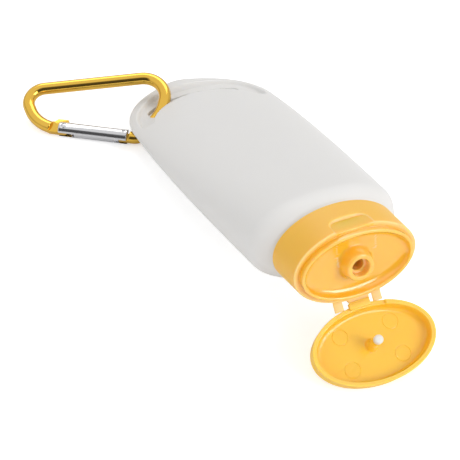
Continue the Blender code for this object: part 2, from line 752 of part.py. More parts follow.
def make_slot_cutter():
    middle = slot_centre_radius()
    half = SLOT_WIDTH / 2
    down = -math.pi / 2
    centre = (0, recess_centre_y())
    start, end = down - SLOT_HALF_ANGLE, down + SLOT_HALF_ANGLE
    outline = arc(centre, middle + half, start, end, 14)
    outline += arc(slot_point(SLOT_HALF_ANGLE, middle), half, end, end + math.pi, 8)[1:-1]
    outline += arc(centre, middle - half, end, start, 14)
    left = slot_point(-SLOT_HALF_ANGLE, middle)
    outline += arc(left, half, start + math.pi, start + 2 * math.pi, 8)[1:-1]
    return add_cutter("hang_slot", plate("hang_slot", outline, 4 * WEB_THICKNESS), TUBE)


# Snap hook

def rod_path():
    """The rod's centre line in the hook's own plane, from the nose round to the pivot block."""
    corners = [
        (GATE_LENGTH + SEAT_GAP, 0, 0),
        (GATE_LENGTH + NOSE_REACH, 0, NOSE_BEND),
        (GATE_LENGTH + HIP_REACH, HIP_Y, HIP_BEND),
        (GATE_LENGTH + CROWN_REACH, CROWN_Y, CROWN_BEND),
        (HEEL_X, HEEL_Y, HEEL_BEND),
        (TOE_X, TOE_Y, TOE_BEND),
        (-TONGUE_START, 0, 0),
    ]
    return filleted(corners)


def rod_point(height):
    """The point of the rod's centre line, on the nose's side, at this distance from the gate's line."""
    path = rod_path()
    for low, high in zip(path, path[1:]):
        if low.y <= height <= high.y and high.y > low.y:
            return low.lerp(high, (height - low.y) / (high.y - low.y))
    return path[1]


def make_hook():
    rod = tube("carabiner_hook", [(p.x, p.y, 0) for p in rod_path()], ROD_RADIUS, ROD_RESOLUTION)
    hook = add_part("carabiner_hook", rod, HOOK_FRAME)
    boolean(hook, add_cutter("pivot_tongue", pivot_tongue(), HOOK_FRAME), "UNION")
    boolean(hook, add_cutter("nose_tongue", nose_tongue(), HOOK_FRAME), "UNION")
    through = Vector((0, 0, 2 * ROD_RADIUS))
    rivet_hole = cylinder("rivet_hole", RIVET_RADIUS + PIN_CLEARANCE, -through, through)
    boolean(hook, add_cutter("rivet_hole", rivet_hole, HOOK_FRAME), "DIFFERENCE")
    return hook


def pivot_tongue():
    """The rod's end milled to a thin tongue: round about the rivet, with an ear on the inner side."""
    start = -TONGUE_START - TONGUE_ROOT
    outline = [(start, -TONGUE_RADIUS)]
    outline += arc((0, 0), TONGUE_RADIUS, -math.pi / 2, math.radians(50), 8)
    outline += [(EAR_REACH, TONGUE_RADIUS), (EAR_REACH, EAR_HEIGHT), (-EAR_START, EAR_HEIGHT),
                (-EAR_START - 1.0 * MM, TONGUE_RADIUS + 0.2 * MM), (start, TONGUE_RADIUS)]
    return plate("pivot_tongue", outline, TONGUE_THICKNESS)


def nose_tongue():
    """The thin nose: a notch for the latch pin and a lip that holds it."""
    root = GATE_LENGTH + SEAT_GAP + 0.6 * MM
    end = GATE_LENGTH - NOSE_TONGUE_LENGTH
    notch = LATCH_PIN_RADIUS + 0.2 * MM
    floor = LATCH_PIN_Y - LATCH_PIN_RADIUS - PIN_CLEARANCE
    low = -ROD_RADIUS * 0.95
    pin_x = latch_pin_x()
    outline = [(root, low), (root, NOSE_LIP_HEIGHT), (pin_x + notch, NOSE_LIP_HEIGHT),
               (pin_x + notch, floor), (pin_x - notch, floor),
               (pin_x - notch, NOSE_LIP_HEIGHT), (end + 0.2 * MM, NOSE_LIP_HEIGHT),
               (end, NOSE_LIP_HEIGHT - 0.3 * MM), (end, low)]
    return plate("nose_tongue", outline, TONGUE_THICKNESS)


def latch_pin_x():
    return GATE_LENGTH - LATCH_PIN_INSET


def make_gate():
    """A round bar, slotted at both ends and bored for its spring."""
    profile = [(0, GATE_LENGTH), (GATE_RADIUS - GATE_EDGE, GATE_LENGTH),
               (GATE_RADIUS, GATE_LENGTH - GATE_EDGE), (GATE_RADIUS, GATE_EDGE - GATE_OVERHANG),
               (GATE_RADIUS - GATE_EDGE, -GATE_OVERHANG), (0, -GATE_OVERHANG)]
    gate = add_turned("carabiner_gate", profile, GATE_SIDES, GATE_AXIS)
    gate.rotation_euler = (0, math.pi / 2, 0)
    half = TONGUE_THICKNESS / 2 + TONGUE_CLEARANCE
    reach = 2 * GATE_RADIUS
    pivot_slot = box("pivot_slot", (-reach, -reach, -half), (PIVOT_SLOT_LENGTH, reach, half))
    latch_slot = box("latch_slot", (GATE_LENGTH - LATCH_SLOT_LENGTH, -reach, -half),
                     (GATE_LENGTH + reach, reach, half))
    bore = cylinder("gate_bore", GATE_BORE_RADIUS, (PIVOT_SLOT_LENGTH - GATE_BORE_RADIUS, 0, 0),
                    (PIVOT_SLOT_LENGTH + GATE_BORE_LENGTH, 0, 0))
    rivet_hole = cylinder("gate_rivet_hole", RIVET_RADIUS + PIN_CLEARANCE, (0, 0, -reach), (0, 0, reach))
    latch_hole = cylinder("latch_pin_hole", LATCH_PIN_RADIUS + PIN_CLEARANCE,
                          (latch_pin_x(), LATCH_PIN_Y, -reach), (latch_pin_x(), LATCH_PIN_Y, reach))
    for cutter in (pivot_slot, latch_slot, bore, rivet_hole, latch_hole):
        boolean(gate, add_cutter(cutter.name, cutter, GATE_AXIS), "DIFFERENCE")
    return gate


def make_gate_hardware():
    """The rivet, the latch pin, and the sprung pusher that bears on the hook's tongue."""
    across = math.sqrt(GATE_RADIUS ** 2 - RIVET_RADIUS ** 2)
    add_part("gate_rivet", cylinder("gate_rivet", RIVET_RADIUS, (0, 0, -across), (0, 0, across)), GATE_AXIS)
    reach = math.sqrt(GATE_RADIUS ** 2 - (LATCH_PIN_Y + LATCH_PIN_RADIUS) ** 2)
    latch = cylinder("gate_latch_pin", LATCH_PIN_RADIUS, (latch_pin_x(), LATCH_PIN_Y, -reach),
                     (latch_pin_x(), LATCH_PIN_Y, reach))
    add_part("gate_latch_pin", latch, GATE_AXIS)
    start = TONGUE_RADIUS + SEAT_GAP
    neck_end = start + PUSHER_LENGTH
    head_end = neck_end + PUSHER_HEAD_LENGTH
    profile = [(0, head_end), (PUSHER_HEAD_RADIUS, head_end), (PUSHER_HEAD_RADIUS, neck_end),
               (PUSHER_RADIUS, neck_end), (PUSHER_RADIUS, start + PUSHER_EDGE),
               (PUSHER_RADIUS - PUSHER_EDGE, start), (0, start)]
    pusher = add_turned("gate_pusher", profile, PIN_SIDES, GATE_AXIS)
    pusher.rotation_euler = (0, math.pi / 2, 0)
    spring_start = head_end + PIN_CLEARANCE + SPRING_WIRE_RADIUS
    spring_end = PIVOT_SLOT_LENGTH + GATE_BORE_LENGTH - PIN_CLEARANCE - SPRING_WIRE_RADIUS
    count = SPRING_TURNS * COIL_POINTS
    points = []
    for i in range(count + 1):
        angle = 2 * math.pi * i / COIL_POINTS
        x = spring_start + (spring_end - spring_start) * i / count
        points.append((x, SPRING_RADIUS * math.cos(angle), SPRING_RADIUS * math.sin(angle)))
    add_part("gate_spring", tube("gate_spring", points, SPRING_WIRE_RADIUS, 1), GATE_AXIS)


# Assembly

def lowest(objects, frame, tilt):
    """The lowest height of these objects when the tube's frame is tilted about its width."""
    depsgraph = bpy.context.evaluated_depsgraph_get()
    to_frame = frame.matrix_world.inverted()
    low = math.inf
    for obj in objects:
        evaluated = obj.evaluated_get(depsgraph)
        matrix = to_frame @ evaluated.matrix_world
        for vertex in evaluated.data.vertices:
            point = matrix @ vertex.co
            low = min(low, point.y * math.sin(tilt) + point.z * math.cos(tilt))
    return low


def rest_on_floor(bottle, lid):
    """Tilt the tube until its lid and its tail lie at one height, and return that height."""
    flat, steep = 0.0, math.radians(30)
    for _ in range(24):
        tilt = (flat + steep) / 2
        if lowest([lid], TUBE, tilt) < lowest([bottle], TUBE, tilt):
            flat = tilt
        else:
            steep = tilt
    height = lowest([bottle], TUBE, tilt)
    TUBE.rotation_euler = (tilt, 0, 0)
    TUBE.location = (0, 0, -height)


def hang_hook():
    """Lay the hook's gate on the floor and its leaning rod through the slot."""
    x, y = slot_point(SEAT_ANGLE, slot_centre_radius() - SEAT_INSET)
    spot = TUBE.matrix_world @ Vector((x, y, 0))
    seat = rod_point((spot.z - GATE_RADIUS) / math.sin(HOOK_LEAN))
    turn = Matrix.Rotation(HOOK_HEADING, 3, "Z") @ Matrix.Rotation(HOOK_LEAN, 3, "X")
    HOOK_FRAME.rotation_euler = turn.to_euler()
    HOOK_FRAME.location = spot - turn @ Vector((seat.x, seat.y, 0))


def centre_on_origin():
    """Move the whole object so that the middle of its footprint is the origin."""
    bpy.context.view_layer.update()
    depsgraph = bpy.context.evaluated_depsgraph_get()
    low = Vector((math.inf,) * 3)
    high = Vector((-math.inf,) * 3)
    for obj in PARTS.objects:
        if obj.type != "MESH":
            continue
        evaluated = obj.evaluated_get(depsgraph)
        for vertex in evaluated.data.vertices:
            point = evaluated.matrix_world @ vertex.co
            low = Vector(map(min, low, point))
            high = Vector(map(max, high, point))
    ROOT.location = (-(low.x + high.x) / 2, -(low.y + high.y) / 2, -low.z)
    bpy.context.view_layer.update()


clear_scene()
PARTS = new_collection("sunscreen_tube")
CUTTERS = new_collection("cutters")

HINGE_Z = -(CAP_HALF_DEPTH + HINGE_SETBACK)
NECK_TOP = -DECK_DROP - DECK_WALL - SEAT_GAP
BEAD_START = 2.2 * MM
BODY_START = SKIRT_HEIGHT + SEAT_GAP

ROOT = new_empty("footprint_centre")
TUBE = new_empty("tube_frame", ROOT)
LID_HINGE = new_empty("lid_hinge", TUBE)
LID_HINGE.location = (0, 0, HINGE_Z)
LID_HINGE.rotation_euler = (-LID_OPEN_ANGLE, 0, 0)
HOOK_FRAME = new_empty("hook_frame", ROOT)
GATE_AXIS = new_empty("gate_axis", HOOK_FRAME)

bottle = make_bottle()
make_cap_base()
make_nozzle()
lid = make_lid()
make_pin_tip()
make_straps()
make_hook()
make_gate()
make_gate_hardware()
bpy.context.view_layer.update()
rest_on_floor(bottle, lid)
bpy.context.view_layer.update()
hang_hook()
centre_on_origin()
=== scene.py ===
"""Looks of the flat lotion bottle, its flip-top cap and the snap hook in its hang slot.

Sizes are in millimetres. Each piece is drawn in the frame of the tube, the lid or the hook, and
its mesh is then set in its place in the row's frame.
"""

import json
import math

import bmesh
import bpy
from mathutils import Matrix, Vector


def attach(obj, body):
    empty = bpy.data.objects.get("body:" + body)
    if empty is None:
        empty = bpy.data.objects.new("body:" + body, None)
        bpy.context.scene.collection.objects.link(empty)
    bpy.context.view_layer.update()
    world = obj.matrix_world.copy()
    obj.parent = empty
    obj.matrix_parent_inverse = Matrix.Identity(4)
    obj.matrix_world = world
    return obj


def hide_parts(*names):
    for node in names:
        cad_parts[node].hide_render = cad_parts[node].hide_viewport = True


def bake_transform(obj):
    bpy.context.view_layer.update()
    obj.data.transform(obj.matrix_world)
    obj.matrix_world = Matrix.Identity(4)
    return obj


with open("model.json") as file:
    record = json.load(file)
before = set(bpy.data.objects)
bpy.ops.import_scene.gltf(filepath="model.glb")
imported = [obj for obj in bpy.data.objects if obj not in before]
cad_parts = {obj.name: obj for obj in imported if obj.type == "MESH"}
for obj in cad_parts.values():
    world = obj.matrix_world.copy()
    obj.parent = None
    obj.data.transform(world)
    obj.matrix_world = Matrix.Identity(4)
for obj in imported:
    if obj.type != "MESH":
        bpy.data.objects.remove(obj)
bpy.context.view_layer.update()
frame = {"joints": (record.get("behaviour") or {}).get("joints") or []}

MM = 0.001
JOINTS = {joint["name"]: joint for joint in frame["joints"]}

# Cap: half sizes of its oval, measured from the rim plane
CAP_HALF_WIDTH = 17.6
CAP_HALF_DEPTH = 11.0
SKIRT_HEIGHT = 12.8
SKIRT_FLARE = 0.35
CAP_WALL = 1.2
LIP_OUTER = 1.5
LIP_HEIGHT = 1.8
LIP_WIDTH = 0.85
DECK_DROP = 0.5
DECK_WALL = 1.3
COVE = 2.4
MOAT_RADIUS = 5.2
NOZZLE_HEIGHT = 3.3
NOZZLE_RADIUS = 3.8
NOZZLE_FOOT_RADIUS = 4.7
BORE_RADIUS = 2.55
ORIFICE_RADIUS = 1.7
ORIFICE_TOP = 1.2
ORIFICE_END = -5.4
THUMB_X = -0.7
THUMB_HALF_WIDTH = 5.6
THUMB_HEIGHT = 5.5
THUMB_FLOOR = 10.2
THUMB_SQUARENESS = 5.0
THUMB_LIP = 0.35
THUMB_EDGE = (-0.08, 0.16)
THUMB_ROWS = 42

# Lid, drawn closed on the base
SEAT_GAP = 0.3
LID_HEIGHT = 5.0
LID_FLOOR = 3.85
LID_DRAFT = 0.35
LID_EDGE = 1.1
LID_KNEE = 2.0
NOTCH_HALF_WIDTH = 6.9
NOTCH_DEPTH = 0.75
NOTCH_RISE = 1.4
PIN_LENGTH = 7.4
PIN_RADIUS = 1.25
PIN_TIP_LENGTH = 1.7
SPIGOT_RADIUS = 0.6
SPIGOT_LENGTH = 1.0
EJECTOR_RADIUS = 2.15
EJECTOR_GROOVE = 0.12
EJECTOR_X = 7.4
EJECTOR_Z = 4.6

# Polish and painted light: how far inside the ovals the mould is polished, and how much painted
# light, a paler colour for light through the plastic and for highlights, each narrow edge gets
POLISH_INSET = 0.9
LIP_PAINTED_LIGHT = 0.2
NOZZLE_PAINTED_LIGHT = 0.15
BORE_PAINTED_LIGHT = 0.4
LID_RIM_PAINTED_LIGHT = 0.3

# Living hinge; the knee of a strap is its bend beside the rim, along the tube and off the fold
HINGE_SETBACK = 0.75
HINGE_Z = -(CAP_HALF_DEPTH + HINGE_SETBACK)
HINGE_EDGE = 0.12
LID_OPEN_ANGLE = math.radians(135.2)
TAB_HALF_WIDTH = 3.0
TAB_THICKNESS = 1.2
FOLD_RADIUS = 0.17
STRAP_INNER_X = 4.3
STRAP_WIDTH = 2.6
STRAP_THICKNESS = 0.45
STRAP_FOOT = -1.5
STRAP_SEAT = 0.1
STRAP_KNEE = (-1.35, 0.2)
STRAP_BEND = 0.9

# Bottle
BODY_START = SKIRT_HEIGHT + SEAT_GAP
BODY_LENGTH = 131.3
SHOULDER_LENGTH = 8.2
SHOULDER_END = BODY_START + SHOULDER_LENGTH
SHOULDER_ROUND = 0.9
SHOULDER_HALF_WIDTH = 21.7
BELLY_HALF_WIDTH = 24.1
BELLY_DISTANCE = 84.0
TAIL_DEPTH = 28.0
TAIL_START = BODY_LENGTH - TAIL_DEPTH
TAIL_HALF_WIDTH = 23.6
TAIL_SQUARENESS = 2.0
TAIL_ROUND = 1.8
SHOULDER_HALF_THICKNESS = 11.6
TAIL_HALF_THICKNESS = 1.9
BODY_SQUARENESS = 2.4
EDGE_SQUARENESS = 1.6
NECK_RADIUS = 7.3
NECK_BORE = 6.1
NECK_TOP = -2.1
NECK_EASE = 0.3
NECK_FILLET = 0.6
HOLLOW_END = -24.0
BOTTLE_POINTS = 380
SHOULDER_ROWS = 24
TAIL_ROWS = 108

# Hang tab
RIM_SIDE_WIDTH = 2.1
RIM_END_WIDTH = 6.4
RECESS_SQUARENESS = 2.3
RECESS_RADIUS = 17.6
RECESS_WALL = (0.9, 1.7)
RECESS_RIM = (0.1, 1.5)
RECESS_TIP = (-1.2, 1.6)
RECESS_FROM_TAIL = 17.4
RECESS_CENTRE = -(BODY_LENGTH - RECESS_FROM_TAIL - RECESS_RADIUS)
WEB_HALF_THICKNESS = 0.7
SLOT_WIDTH = 6.2
SLOT_OFFSET = 0.35
SLOT_RADIUS = RECESS_RADIUS + SLOT_OFFSET + SLOT_WIDTH / 2
SLOT_HALF_ANGLE = math.radians(36)

# Snap hook, with the rivet at 0, 0; its rod's corners are x, y and the radius of the bend
ROD_RADIUS = 1.93
ROD_EDGE = 0.45
ROD_CORNERS = [(21.4, 0, 0), (24.3, 0, 2.6), (29.2, 10.4, 12.0), (28.9, 24.7, 7.7),
               (-17.4, 12.4, 5.0), (-10.2, 1.6, 12.0), (-4.4, 0, 0)]
TONGUE_THICKNESS = 1.5
TONGUE_EDGE = 0.1
TONGUE_START = 4.9
TONGUE_RADIUS = 1.9
EAR_START = 2.6
EAR_HEIGHT = 3.1
EAR_REACH = 0.7
NOSE_START = 22.0
NOSE_END = 18.1
NOSE_LIP = 0.9
NOSE_LOW = -1.83
NOTCH_FLOOR = 0.15

# Gate
GATE_LENGTH = 20.8
GATE_RADIUS = 2.25
GATE_OVERHANG = 1.7
GATE_EDGE = 0.4
GATE_CUT_EDGE = 0.06
SLOT_CLEARANCE = 0.15
RIVET_FIT = 0.03
LATCH_PIN_FIT = 0.04
HOOK_RIVET_FIT = 0.1
PIVOT_SLOT_LENGTH = 3.7
LATCH_SLOT_LENGTH = 4.0
GATE_BORE_RADIUS = 1.15
GATE_BORE_END = 12.2
RIVET_RADIUS = 0.65
DIMPLE_RADIUS = 0.95
DIMPLE_DEPTH = 0.28
LATCH_PIN_X = 19.5
LATCH_PIN_Y = 0.7
LATCH_PIN_RADIUS = 0.45
PUSHER_START = 2.2
PUSHER_NECK_END = 5.6
PUSHER_END = 6.3
PUSHER_RADIUS = 0.7
PUSHER_HEAD_RADIUS = 0.95
SPRING_RADIUS = 0.75
SPRING_WIRE_RADIUS = 0.15
SPRING_START = 6.55
SPRING_END = 11.95
SPRING_TURNS = 7

# Places
TUBE_TILT = math.radians(11.44)
HINGE = Vector(JOINTS["lid_hinge"]["pos_m"])
FROM_HINGE = Matrix.Translation(Vector((0, 0, -HINGE_Z)) * MM) @ Matrix.Scale(MM, 4)
TUBE = Matrix.Translation(HINGE) @ Matrix.Rotation(TUBE_TILT, 4, "X") @ FROM_HINGE
LID = (Matrix.Translation(HINGE) @ Matrix.Rotation(TUBE_TILT - LID_OPEN_ANGLE, 4, "X")
       @ FROM_HINGE)
HOOK_HEADING = math.radians(142.9)
HOOK_TILT = math.radians(20)
HOOK_TURN = Matrix.Rotation(HOOK_HEADING, 4, "Z") @ Matrix.Rotation(HOOK_TILT, 4, "X")
HOOK = Matrix.Translation(JOINTS["gate_hinge"]["pos_m"]) @ HOOK_TURN @ Matrix.Scale(MM, 4)
SPIN_TO_X = Matrix.Rotation(math.pi / 2, 4, "Y")
SPIN_TO_CAP = Matrix.Rotation(-math.pi / 2, 4, "X")

# Camera, with its place measured from the cap's rim, and its turn in degrees
CAMERA_LENS = 124.77
CAMERA_FROM_RIM = (144.934, 272.045, 276.045)
CAMERA_TURN = (49.3294, 1.8210, 156.3741)

# Light. The screen faces SCREEN_SIDE; its edge is a cosine from there, and its foot and top are
# heights in the sky, as is the horizon's, each fading from the first value to the second.
AMBIENT = 0.58
HORIZON_LEVEL = 0.62
HORIZON_FADE = (0.0, 0.6)
DARK_LEVEL = 0.1
SCREEN_SIDE = (0.39, 0.92, 0.0)
SCREEN_EDGE = (0.55, 0.75)
SCREEN_FOOT = (-0.02, 0.02)
SCREEN_TOP = (0.90, 0.70)
FLOOR_DROP = 0.2
FLOOR_GLOW = 0.5
FLOOR_MIRRORED_GLOW = 0.05

# Heights of the grain
MOULD_GRAIN = 0.04
METAL_GRAIN = 0.02


# Shapes

def smooth_step(low, high, value):
    t = min(max((value - low) / (high - low), 0.0), 1.0)
    return t * t * (3 - 2 * t)


def signed_power(value, power):
    return math.copysign(abs(value) ** power, value)


def ring(half_x, half_z, y, points, squareness=2.0):
    """Points of a superellipse in the plane at y; squareness 2 is a true ellipse."""
    power = 2.0 / squareness
    loop = []
    for i in range(points):
        angle = 2 * math.pi * i / points
        loop.append(Vector((signed_power(math.cos(angle), power) * half_x, y,
                            signed_power(math.sin(angle), power) * half_z)))
    return loop


def mesh_from_bmesh(name, bm):
    bmesh.ops.recalc_face_normals(bm, faces=bm.faces)
    mesh = bpy.data.meshes.new(name)
    bm.to_mesh(mesh)
    bm.free()
    return mesh


def loft(name, rings, closed=False):
    """A skin through rings of equal count, joined end to end or closed with flat ends."""
    bm = bmesh.new()
    loops = [[bm.verts.new(point) for point in points] for points in rings]
    pairs = list(zip(loops, loops[1:]))
    if closed:
        pairs.append((loops[-1], loops[0]))
    for low, high in pairs:
        for i in range(len(low)):
            j = (i + 1) % len(low)
            bm.faces.new((low[i], low[j], high[j], high[i]))
    if not closed:
        for loop in (loops[0], loops[-1]):
            bm.faces.new(loop)
    return mesh_from_bmesh(name, bm)


def softened(corners, steps=5, share=0.62, guard=1.15):
    """A path of (a, b, y) points with each corner's own radius turned into a small curve.

    A curve takes at most a share of the runs beside it. A guard point close before and after it
    keeps these runs flat when they are shaded.
    """
    path = []
    for i, (*here, radius) in enumerate(corners):
        here = Vector(here)
        if radius == 0 or i in (0, len(corners) - 1):
            path.append(here)
            continue
        into = Vector(corners[i - 1][:3]) - here
        out = Vector(corners[i + 1][:3]) - here
        start = into.normalized() * min(radius, into.length * share)
        end = out.normalized() * min(radius, out.length * share)
        path.append(here + start * guard)
        for step in range(steps + 1):
            t = step / steps
            path.append(here + start * (1 - t) ** 2 + end * t * t)
        path.append(here + end * guard)
    return path


def filleted(corners, steps=24):
    """A path through (x, y, bend radius) corners; the first and last are plain ends."""
    path = [Vector(corners[0][:2])]
    for before, corner, after in zip(corners, corners[1:], corners[2:]):
        here = Vector(corner[:2])
        into = (here - Vector(before[:2])).normalized()
        out = (Vector(after[:2]) - here).normalized()
        turn = into.angle_signed(out)
        cut = corner[2] * math.tan(abs(turn) / 2)
        side = -math.copysign(1, turn)
        centre = here - into * cut + Vector((-into.y, into.x)) * side * corner[2]
        start = here - into * cut - centre
        for step in range(steps + 1):
            path.append(centre + Matrix.Rotation(side * abs(turn) * step / steps, 2) @ start)
    path.append(Vector(corners[-1][:2]))
    return path


def arc(centre, radius, start, end, steps):
    return [(centre[0] + radius * math.cos(start + (end - start) * i / steps),
             centre[1] + radius * math.sin(start + (end - start) * i / steps))
            for i in range(steps + 1)]


def placed_object(name, data):
    obj = bpy.data.objects.new(name, data)
    bpy.context.scene.collection.objects.link(obj)
    return obj


def scratch_object(mesh):
    return placed_object(mesh.name + "_work", mesh)


def evaluated_mesh(obj):
    """The object's mesh with its modifiers applied; the object itself goes."""
    bpy.context.view_layer.update()
    depsgraph = bpy.context.evaluated_depsgraph_get()
    mesh = bpy.data.meshes.new_from_object(obj.evaluated_get(depsgraph))
    bpy.data.objects.remove(obj, do_unlink=True)
    return mesh


def combined(mesh, other, operation):
    """One mesh cut by, or joined to, another."""
    obj = scratch_object(mesh)
    tool = scratch_object(other)
    modifier = obj.modifiers.new("cut", "BOOLEAN")
    modifier.operation = operation
    modifier.object = tool
    result = evaluated_mesh(obj)
    bpy.data.objects.remove(tool, do_unlink=True)
    return result


def bevelled(mesh, width, segments=3, angle=30):
    obj = scratch_object(mesh)
    modifier = obj.modifiers.new("edge", "BEVEL")
    modifier.width = width
    modifier.segments = segments
    modifier.limit_method = "ANGLE"
    modifier.angle_limit = math.radians(angle)
    return evaluated_mesh(obj)


def plate(name, outline, low, high):
    """A flat outline in x, y between two heights."""
    return loft(name, [[(x, y, z) for x, y in outline] for z in (low, high)])


def cylinder(name, radius, start, end, sides=48):
    start, end = Vector(start), Vector(end)
    axis = end - start
    turn = Vector((0, 0, 1)).rotation_difference(axis).to_matrix().to_4x4()
    bm = bmesh.new()
    bmesh.ops.create_cone(bm, cap_ends=True, segments=sides, radius1=radius, radius2=radius,
                          depth=axis.length, matrix=Matrix.Translation((start + end) / 2) @ turn)
    return mesh_from_bmesh(name, bm)


def box(name, low, high):
    low, high = Vector(low), Vector(high)
    bm = bmesh.new()
    bmesh.ops.create_cube(bm, size=1.0, matrix=Matrix.Translation((low + high) / 2)
                          @ Matrix.Diagonal((*(high - low), 1)))
    return mesh_from_bmesh(name, bm)


def turned(name, profile, sides=64):
    """A (radius, height) profile spun about the z axis."""
    rings = []
    for radius, height in profile:
        rings.append([Vector((radius * math.cos(2 * math.pi * i / sides),
                              radius * math.sin(2 * math.pi * i / sides), height))
                      for i in range(sides)])
    return loft(name, rings)


def marked(mesh, label, rule):
    """Write a value between 0 and 1 on each point, from the rule for its place."""
    values = [rule(vertex.co) for vertex in mesh.vertices]
    mesh.attributes.new(label, "FLOAT", "POINT").data.foreach_set("value", values)


def add_piece(name, mesh, place, body, finish, stands_for=(), sharp=35):
    """Set a mesh in its place and hang it on its body.

    Given a pair of points in place of a body, the piece hangs on no body and its place is baked
    into its mesh.
    """
    mesh.transform(place)
    mesh.materials.clear()
    mesh.materials.append(finish)
    mesh.shade_smooth()
    mesh.set_sharp_from_angle(angle=math.radians(sharp))
    piece = placed_object(name, mesh)
    if isinstance(body, str):
        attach(piece, body)
    else:
        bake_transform(piece)
    if stands_for:
        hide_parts(*stands_for)
    return piece


# Trees for what repeats or follows a path

def join(links, *pairs):
    """Link nodes, each pair given as (node, output, node, input)."""
    for giver, given, taker, taken in pairs:
        links.new(giver.outputs[given], taker.inputs[taken])


def new_group(name, family, inputs, outputs):
    """An empty node group with these (label, kind, default) inputs and (label, kind) outputs."""
    group = bpy.data.node_groups.new(name, family)
    for label, kind, value in inputs:
        socket = group.interface.new_socket(name=label, in_out="INPUT",
                                            socket_type="NodeSocket" + kind)
        if value is not None:
            socket.default_value = value
    for label, kind in outputs:
        group.interface.new_socket(name=label, in_out="OUTPUT", socket_type="NodeSocket" + kind)
    return group, group.nodes, group.links, group.nodes.new("NodeGroupInput")


def new_tree(name, inputs):
    return new_group(name, "GeometryNodeTree", inputs, (("Piece", "Geometry"),))


def finish_tree(nodes, links, source, geometry):
    """Close a tree: what it made is made real and gets its finish."""
    real = nodes.new("GeometryNodeRealizeInstances")
    paint = nodes.new("GeometryNodeSetMaterial")
    sink = nodes.new("NodeGroupOutput")
    links.new(geometry, real.inputs["Geometry"])
    join(links, (real, "Geometry", paint, "Geometry"), (source, "Finish", paint, "Material"),
         (paint, "Geometry", sink, "Piece"))


def grown(name, tree, mesh, settings):
    """The mesh that a tree makes of this one, with its named inputs set."""
    obj = scratch_object(mesh or bpy.data.meshes.new(name))
    modifier = obj.modifiers.new("grow", "NODES")
    modifier.node_group = tree
    for item in tree.interface.items_tree:
        if item.in_out == "INPUT" and item.name in settings:
            modifier[item.identifier] = settings[item.name]
    return evaluated_mesh(obj)


def round_bar_tree():
    """A round bar swept along a line of points, with its drawing direction kept as an attribute."""
    tree, nodes, links, source = new_tree("round_bar", (
        ("Line", "Geometry", None), ("Radius", "Float", 2.0), ("Spacing", "Float", 0.3),
        ("Sides", "Int", 48), ("Finish", "Material", None)))
    curve = nodes.new("GeometryNodeMeshToCurve")
    even = nodes.new("GeometryNodeResampleCurve")
    even.mode = "LENGTH"
    sweep_round(nodes, links, source, even.outputs["Curve"])
    join(links, (source, "Line", curve, "Mesh"), (curve, "Curve", even, "Curve"),
         (source, "Spacing", even, "Length"))
    return tree


def coil_tree():
    """A coil of round wire."""
    tree, nodes, links, source = new_tree("wire_coil", (
        ("Line", "Geometry", None), ("Turns", "Float", 7.0), ("Coil Radius", "Float", 0.75),
        ("Length", "Float", 5.0), ("Radius", "Float", 0.15), ("Sides", "Int", 12),
        ("Finish", "Material", None)))
    coil = nodes.new("GeometryNodeCurveSpiral")
    coil.inputs["Resolution"].default_value = 32
    join(links, (source, "Turns", coil, "Rotations"), (source, "Coil Radius", coil, "Start Radius"),
         (source, "Coil Radius", coil, "End Radius"), (source, "Length", coil, "Height"))
    sweep_round(nodes, links, source, coil.outputs["Curve"])
    return tree


def sweep_round(nodes, links, source, curve):
    """Sweep a circle along a curve and keep how far along and around each point lies."""
    parameter = nodes.new("GeometryNodeSplineParameter")
    along = nodes.new("GeometryNodeCaptureAttribute")
    along.capture_items.new("FLOAT", "Along")
    circle = nodes.new("GeometryNodeCurvePrimitiveCircle")
    around = nodes.new("GeometryNodeCaptureAttribute")
    around.capture_items.new("FLOAT", "Around")
    sweep = nodes.new("GeometryNodeCurveToMesh")
    sweep.inputs["Fill Caps"].default_value = True
    pair = nodes.new("ShaderNodeCombineXYZ")
    keep = nodes.new("GeometryNodeStoreNamedAttribute")
    keep.data_type = "FLOAT_VECTOR"
    keep.inputs["Name"].default_value = "drawn"
    links.new(curve, along.inputs["Geometry"])
    join(links, (parameter, "Length", along, "Along"), (source, "Radius", circle, "Radius"),
         (source, "Sides", circle, "Resolution"), (circle, "Curve", around, "Geometry"),
         (parameter, "Factor", around, "Around"), (along, "Geometry", sweep, "Curve"),
         (around, "Geometry", sweep, "Profile Curve"), (along, "Along", pair, "X"),
         (around, "Around", pair, "Y"), (sweep, "Mesh", keep, "Geometry"),
         (pair, "Vector", keep, "Value"))
    finish_tree(nodes, links, source, keep.outputs["Geometry"])


def marks_tree():
    """Fine rings, the witness marks of four ejector pins, at the corners of a rectangle."""
    tree, nodes, links, source = new_tree("ejector_marks", (
        ("Line", "Geometry", None), ("Spacing X", "Float", 14.0), ("Spacing Y", "Float", 9.0),
        ("Ring Radius", "Float", 2.0), ("Groove Radius", "Float", 0.1),
        ("Finish", "Material", None)))
    corners = nodes.new("GeometryNodeMeshGrid")
    corners.inputs["Vertices X"].default_value = 2
    corners.inputs["Vertices Y"].default_value = 2
    loop = nodes.new("GeometryNodeCurvePrimitiveCircle")
    loop.inputs["Resolution"].default_value = 64
    section = nodes.new("GeometryNodeCurvePrimitiveCircle")
    section.inputs["Resolution"].default_value = 8
    groove = nodes.new("GeometryNodeCurveToMesh")
    place = nodes.new("GeometryNodeInstanceOnPoints")
    join(links, (source, "Spacing X", corners, "Size X"), (source, "Spacing Y", corners, "Size Y"),
         (source, "Ring Radius", loop, "Radius"), (source, "Groove Radius", section, "Radius"),
         (loop, "Curve", groove, "Curve"), (section, "Curve", groove, "Profile Curve"),
         (corners, "Mesh", place, "Points"), (groove, "Mesh", place, "Instance"))
    finish_tree(nodes, links, source, place.outputs["Instances"])
    return tree


# Finishes

def set_inputs(node, values):
    for label, value in values.items():
        node.inputs[label].default_value = value


def new_material(name):
    material = bpy.data.materials.new(name)
    material.use_nodes = True
    return material, material.node_tree.nodes, material.node_tree.links


